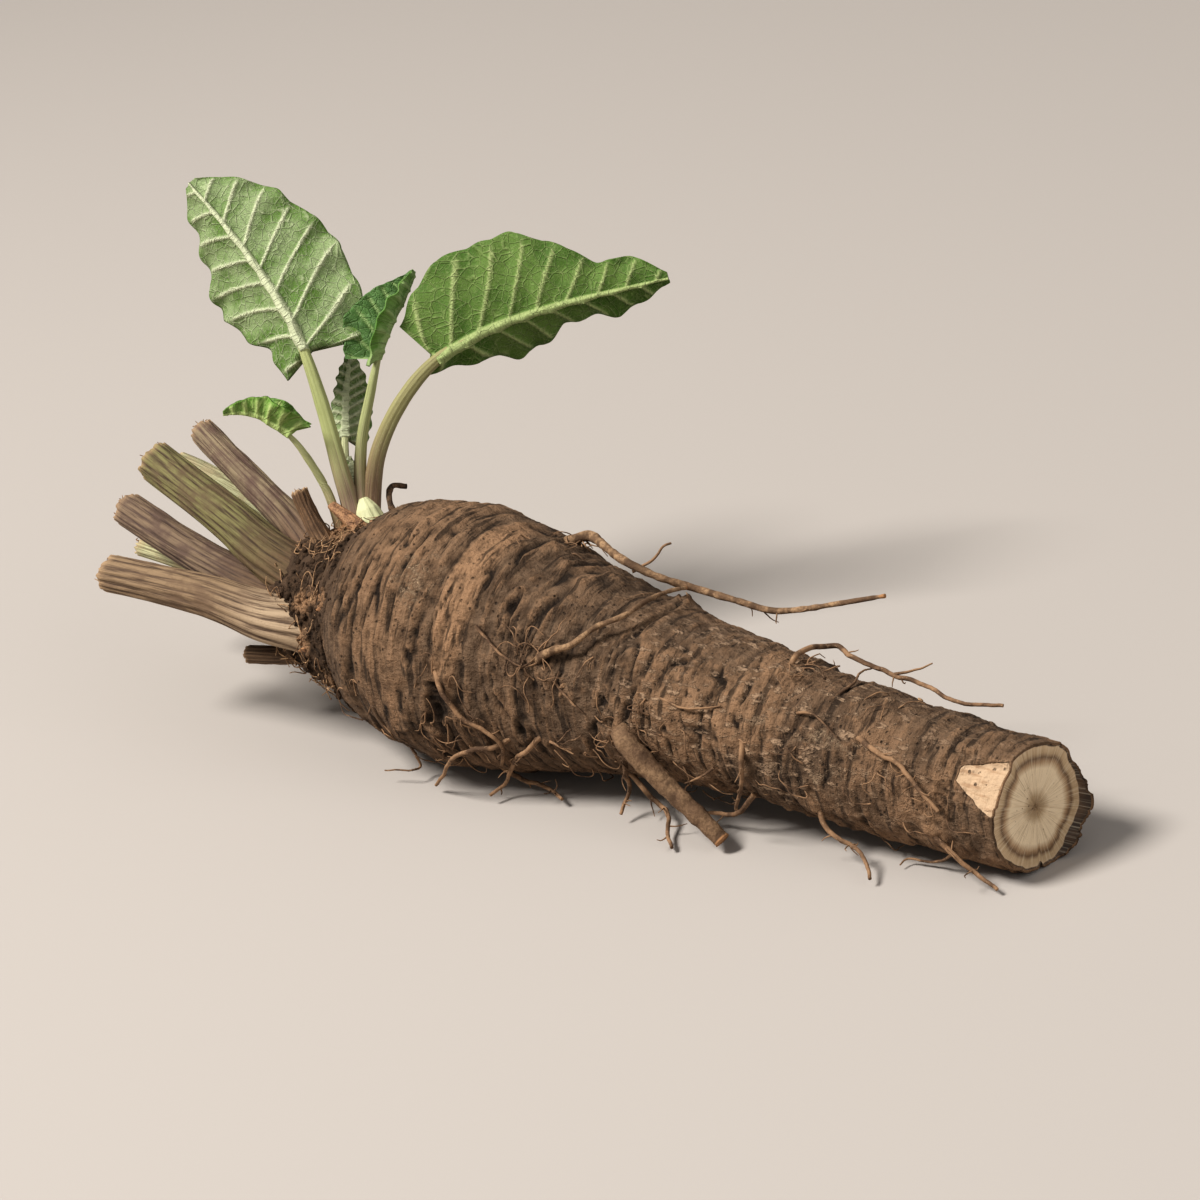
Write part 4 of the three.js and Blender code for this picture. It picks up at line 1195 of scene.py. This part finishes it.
LEAVES = {
    "leaf_large": {
        "stalk": [(-52, 9, 52), (-54, 12, 66), (-56, 13, 80), (-60.5, 16, 98), (-66.5, 19, 115)],
        "radii": (3.3, 1.8), "face": (-0.6, 0.7, -0.3), "lobe": 5, "veins": 7, "ruffle": 1.3,
        "midrib": [(-73, 21, 126), (-85, 23, 141), (-97, 24, 154), (-109, 25, 165)],
        "left": [(0, 19), (0.15, 23.5), (0.35, 25.5), (0.5, 23.5), (0.7, 19), (0.88, 11), (1, 1)],
        "left_turn": (5, 15),
        "right": [(0, 12), (0.15, 14), (0.3, 21), (0.5, 25), (0.65, 19), (0.8, 12), (0.9, 9), (1, 1)],
        "right_turn": (25, 20), "low": (0.30, 0.195, 0.145), "high": (0.36, 0.385, 0.155),
        "paint": "felt",
    },
    "leaf_arching": {
        "stalk": [(-47, 12, 54), (-50, 17, 66), (-47, 22, 82), (-41, 31, 96), (-33, 42, 106)],
        "radii": (2.9, 1.9), "face": (-0.6, 0.65, -0.1), "lobe": 6, "veins": 8, "ruffle": 1.2,
        "midrib": [(-20, 54, 112), (-3, 66, 116), (12, 76, 118), (28, 86, 120)],
        "left": [(0, 4), (0.15, 9), (0.3, 17), (0.42, 14), (0.55, 9), (0.75, 10), (0.88, 6), (1, 1)],
        "left_turn": (25, 25),
        "right": [(0, 14), (0.1, 22), (0.2, 27), (0.45, 26), (0.6, 17), (0.72, 9.5), (0.86, 9.5), (1, 1)],
        "right_turn": (5, 25), "low": (0.22, 0.135, 0.085), "high": (0.27, 0.245, 0.10),
        "paint": "green_felt",
    },
    "leaf_cupped": {
        "stalk": [(-48, 12, 56), (-52, 15, 68), (-53, 21, 84), (-51, 28, 99), (-50, 33, 108)],
        "radii": (2.4, 1.3), "face": (0.1, -0.83, 0.4), "lobe": 3, "veins": 6, "ruffle": 0.8,
        "midrib": [(-49, 37, 114), (-48, 43, 120), (-47, 49, 125), (-48, 54, 129)],
        "left": [(0, 10), (0.3, 14), (0.55, 11), (0.8, 6), (1, 1)], "left_turn": (15, 30),
        "right": [(0, 5), (0.3, 8.5), (0.55, 8.5), (0.8, 5), (1, 1)],
        "right_turn": (60, 40), "low": (0.30, 0.20, 0.14), "high": (0.33, 0.35, 0.15),
        "paint": "blue_green",
    },
    "leaf_pleated": {
        "stalk": [(-54, 12, 56), (-60, 17, 66), (-65, 23, 75), (-68, 28, 82)],
        "radii": (1.8, 1.2), "face": (-0.8, 0.4, -0.2), "lobe": 2, "veins": 9, "ruffle": 0.5,
        "midrib": [(-70, 32, 87), (-72, 36, 93), (-73, 40, 99), (-74, 43, 104)],
        "left": [(0, 8), (0.25, 11), (0.6, 11.5), (0.8, 6.5), (1, 1)], "left_turn": (20, 20),
        "right": [(0, 4), (0.3, 6), (0.6, 4.5), (0.8, 3.5), (1, 1)],
        "right_turn": (45, 20), "low": (0.42, 0.27, 0.18), "high": (0.46, 0.47, 0.25), "paint": "felt",
    },
    "leaf_low": {
        "stalk": [(-52, 4, 56), (-56, 7, 67), (-59, 8, 75), (-62, 6, 86), (-65, 4, 93)],
        "radii": (1.6, 1.1), "face": (-0.3, -0.1, 0.9), "lobe": 4, "veins": 6, "ruffle": 0.6,
        "midrib": [(-68, 2, 96.5), (-72, 0, 100), (-76, -4, 102.5), (-79, -8, 103.5)],
        "left": [(0, 7), (0.35, 9.5), (0.6, 6.5), (0.8, 4), (1, 1)], "left_turn": (60, 20),
        "right": [(0, 7), (0.35, 8.5), (0.6, 6), (0.8, 4), (1, 1)],
        "right_turn": (45, 20), "low": (0.31, 0.20, 0.11), "high": (0.42, 0.42, 0.2), "paint": "bright",
    },
    "leaf_bud": {
        "stalk": [(-52, 14, 58), (-56, 18, 66), (-58, 19, 71)],
        "radii": (1.4, 0.9), "face": (-0.7, 0.5, -0.2), "lobe": 1, "veins": 4, "ruffle": 0.1,
        "midrib": [(-59, 20, 73), (-60, 21, 76), (-61, 22, 79)],
        "left": [(0, 2.5), (0.4, 3.5), (1, 0.6)], "left_turn": (45, 20),
        "right": [(0, 3), (0.4, 4.5), (1, 0.6)],
        "right_turn": (45, 20), "low": (0.42, 0.3, 0.18), "high": (0.45, 0.46, 0.26), "paint": "felt",
    },
}
PALE_VEIN = (0.50, 0.53, 0.34)
PAINTS = {  # under, greener under, upper, veins
    "felt": leaf_material("leaf_felt", (0.205, 0.275, 0.115), (0.085, 0.165, 0.022),
                          (0.06, 0.14, 0.018), PALE_VEIN),
    "green_felt": leaf_material("leaf_green_felt", (0.10, 0.175, 0.03), (0.05, 0.115, 0.009),
                                (0.06, 0.14, 0.014), (0.31, 0.37, 0.15)),
    "blue_green": leaf_material("leaf_blue_green", (0.15, 0.27, 0.065), (0.08, 0.19, 0.02),
                                (0.085, 0.18, 0.045), (0.26, 0.36, 0.14)),
    "bright": leaf_material("leaf_bright", (0.17, 0.28, 0.065), (0.10, 0.21, 0.024), (0.095, 0.2, 0.025),
                            (0.34, 0.42, 0.15)),
}


def blade(leaf, seed):
    """Both faces of a leaf blade in one closed grid, with veins proud underneath and sunk on top."""
    half = 42 if leaf["veins"] > 6 and leaf["lobe"] > 4 else 26
    rows = 110 if half > 30 else 64
    at = spline([leaf["stalk"][-1], *leaf["midrib"]])
    stretch = np.linspace(0, 1, rows)
    share = np.minimum(stretch, 0.985)
    step = np.linspace(-1, 1, 2 * half + 1)
    across = np.sign(step) * np.abs(step) ** 1.35
    s, a = np.meshgrid(share, across, indexing="ij")
    places, along = at(share)
    side, up = frames(along, leaf["face"])
    fine = np.linspace(0, 1, 400)
    soft = np.hanning(35) / np.hanning(35).sum()

    def half_of(table, turn):
        wide = np.interp(fine, [row[0] for row in table], [row[1] for row in table])
        wide = np.convolve(np.pad(wide, 17, "edge"), soft, "valid")
        width = np.interp(share, fine, wide)
        teeth = 1 + 0.035 * noise(np.stack([share * 14, share * 0 + turn[0], share * 0], -1), 1.0, seed)
        teeth = teeth + 0.02 * (np.abs(np.sin(share * 3.1 * leaf["veins"] * 1.5 + turn[0])) - 0.7)
        fold, curl = math.radians(turn[0]), math.radians(turn[1])
        turned = fold + curl * np.abs(a)
        out = np.sign(a) * (width * teeth)[:, None] * (np.sin(turned) - math.sin(fold)) / curl
        lift = (width * teeth)[:, None] * (math.cos(fold) - np.cos(turned)) / curl
        return out, lift, turned

    left, right = half_of(leaf["left"], leaf["left_turn"]), half_of(leaf["right"], leaf["right_turn"])
    out, lift, turned = (np.where(a < 0, first, second) for first, second in zip(left, right))
    length = at.length
    forward = s * length
    gap = length / leaf["veins"]
    climb = np.abs(out) * 0.75 - 0.006 * out**2
    place = (forward - climb) / gap + 0.5 * (a > 0) + 0.05 * np.sin(forward * 0.21)
    away = np.abs(place - np.round(place)) * gap * 0.8
    fade = between(1.04, 0.75, np.abs(a)) * between(0.0, 0.06, np.abs(a))
    vein = np.exp(-((away / 0.5) ** 2)) * fade
    branch_place = (forward + np.abs(out) * 0.45) / (gap * 0.42)
    branch = np.abs(branch_place - np.round(branch_place)) * gap * 0.42
    branch = np.exp(-((branch / 0.24) ** 2)) * 0.3
    rib = leaf["radii"][1] * (0.15 + 0.8 * (1 - s) ** 0.8)
    spine = np.sqrt(np.clip(1 - (out / rib) ** 2, 0, 1)) * rib
    quilt = between(0.0, 0.5, away / gap) * fade * min(1.0, length / 50)
    flat_place = np.stack([out, forward, out * 0], -1)
    wave = leaf["ruffle"] * np.abs(a) ** 2.5 * (
        0.8 * np.sin(forward * 2 * math.pi / (gap * 1.15) + 2 * np.sign(a))
        + 0.7 * noise(flat_place, gap * 0.8, seed + 3))
    wave = wave * between(0, 0.12, s) * between(1.0, 0.86, s)
    crumple = 0.22 * noise(flat_place, 4.5, seed + 5) + 0.1 * noise(flat_place, 1.8, seed + 6)
    sag = -leaf["lobe"] * across[None, :] ** 2 * (1 - s) ** 3
    tilt_out = -np.sin(turned) * np.sign(a)

    def layer(thickness):
        skin = thickness + quilt * 0.75 - vein * 0.45 - 0.15 * branch + wave + crumple
        skin = skin - (spine if thickness < 0 else spine * -0.15 + 0.0)
        return (places[:, None] + along[:, None] * sag[..., None]
                + side[:, None] * (out + skin * tilt_out)[..., None]
                + up[:, None] * (lift + skin * np.cos(turned))[..., None])

    top, bottom = layer(0.3), layer(-0.3)
    points = np.concatenate([top, bottom[:, ::-1]], 1)

    def both(upper, lower):
        return np.concatenate([upper * np.ones_like(s), (lower * np.ones_like(s))[:, ::-1]], 1)

    strong = np.clip(vein + branch * 0.8, 0, 1)
    centre = between(1.25, 0.7, np.abs(out) / rib)
    marks = {
        "vein": both(np.maximum(strong * 0.8, centre), np.maximum(strong, centre)),
        "edge": both(between(0.7, 1.0, np.abs(a)), between(0.7, 1.0, np.abs(a))),
        "below": both(0.0, 1.0),
    }
    uv = np.stack([both(out, out), both(forward, forward)], -1)
    return solid(Grid(points, marks), uv)


def leaf_piece(name, leaf, seed):
    thick, thin = leaf["radii"]
    share = np.linspace(0, 1, 21)
    # The stalk thins to almost nothing where the midrib takes over.
    spread = (thin + (thick - thin) * (1 - share) ** 1.5) * (1 - 0.8 * share**8)

    def grooved(share, turn, places):
        ridges = 0.05 * np.cos(8 * turn + share) + 0.03 * noise(places, 5, seed)
        return 1 - 0.16 * np.exp(-(((turn - math.pi) / 0.5) ** 2)) + ridges

    stalk = tube([*leaf["stalk"], leaf["midrib"][0]], spread, ref=leaf["face"], rows=120, columns=28,
                 shape=grooved)
    skin = stalk_material(name + "_stalk", leaf["low"], leaf["high"])
    shapes = [blade(leaf, seed), solid(stalk, material=1)]
    thing = piece(name + "_grown", [PAINTS[leaf["paint"]], skin], shapes)
    count = len(thing.data.vertices)
    places = np.zeros(count * 3)
    thing.data.vertices.foreach_get("co", places)
    places = places.reshape(-1, 3)
    places = np.clip(places, np.array(CAD_BOX[0]), np.array(CAD_BOX[1]))
    thing.data.vertices.foreach_set("co", places.ravel())
    thing.data.update()
    return settle(thing, "leaf", name)


SKIN = taproot()
side_roots()
rootlets()
crumbs_and_hairs(SKIN)
crown_soil()
stubs()
shoot_base()
for number, (leaf_name, leaf) in enumerate(LEAVES.items()):
    leaf_piece(leaf_name, leaf, 300 + 17 * number)


# ---- the stage ---------------------------------------------------------------------------------------

def floor():
    """A pale floor that curves up into a backdrop, behind the root as the camera sees it."""
    profile = [(-6.0, 0.0)]
    for degrees in range(0, 91, 6):
        turn = math.radians(degrees)
        profile.append((4.0 + 1.5 * math.sin(turn), 1.5 - 1.5 * math.cos(turn)))
    profile.append((5.5, 6.0))
    points, faces = [], []
    back = math.radians(CAMERA_TURN)
    for out, up in profile:
        for side in (-9.0, 9.0):
            points.append((side * math.cos(back) - out * math.sin(back),
                           side * math.sin(back) + out * math.cos(back), up))
    for k in range(len(profile) - 1):
        faces.append((2 * k, 2 * k + 1, 2 * k + 3, 2 * k + 2))
    mesh = bpy.data.meshes.new("floor")
    mesh.from_pydata(points, [], faces)
    mesh.polygons.foreach_set("use_smooth", [True] * len(faces))
    material = bpy.data.materials.new("floor")
    material.use_nodes = True
    shader = material.node_tree.nodes["Principled BSDF"]
    shader.inputs["Base Color"].default_value = (0.40, 0.365, 0.335, 1)
    shader.inputs["Roughness"].default_value = 0.9
    shader.inputs["Specular IOR Level"].default_value = 0.2
    mesh.materials.append(material)
    stage = bpy.data.objects.new("floor", mesh)
    bpy.context.scene.collection.objects.link(stage)


def soft_light(name, place, target, size, power, colour):
    lamp = bpy.data.lights.new(name, "AREA")
    lamp.shape = "DISK"
    lamp.size = size
    lamp.energy = power
    lamp.color = colour
    stage = bpy.data.objects.new(name, lamp)
    bpy.context.scene.collection.objects.link(stage)
    stage.location = place
    stage.rotation_euler = (Vector(target) - Vector(place)).to_track_quat("-Z", "Y").to_euler()


CAMERA_TURN = 46.5
CAMERA_RISE = 23.0
CAMERA_ROLL = 12.3


def camera():
    turn, rise, roll = (math.radians(v) for v in (CAMERA_TURN, CAMERA_RISE, CAMERA_ROLL))
    back = Vector((math.sin(turn) * math.cos(rise), -math.cos(turn) * math.cos(rise), math.sin(rise)))
    level = Vector((math.cos(turn), math.sin(turn), 0))
    upright = back.cross(level)
    right = level * math.cos(roll) - upright * math.sin(roll)
    up = level * math.sin(roll) + upright * math.cos(roll)
    lens = bpy.data.cameras.new("camera")
    lens.lens = 110
    lens.sensor_width = 36
    lens.clip_start = 0.01
    view = bpy.data.objects.new("camera", lens)
    bpy.context.scene.collection.objects.link(view)
    view.matrix_world = Matrix.Translation((0.7569, -0.6630, 0.4659)) @ Matrix(
        (right, up, back)).transposed().to_4x4()
    bpy.context.scene.camera = view


def world():
    sky = bpy.data.worlds.new("studio")
    sky.use_nodes = True
    background = sky.node_tree.nodes["Background"]
    background.inputs["Color"].default_value = (1.0, 0.98, 0.96, 1)
    background.inputs["Strength"].default_value = 0.33
    bpy.context.scene.world = sky


floor()
world()
soft_light("key", (-0.95, -1.4, 2.5), (0.02, 0, 0.05), 1.0, 128, (1.0, 0.98, 0.95))
soft_light("fill", (1.5, -0.1, 0.9), (0.05, 0, 0.05), 1.2, 6, (0.97, 0.98, 1.0))
camera()
bpy.context.scene.view_settings.view_transform = "Standard"
bpy.context.scene.view_settings.look = "Medium High Contrast"
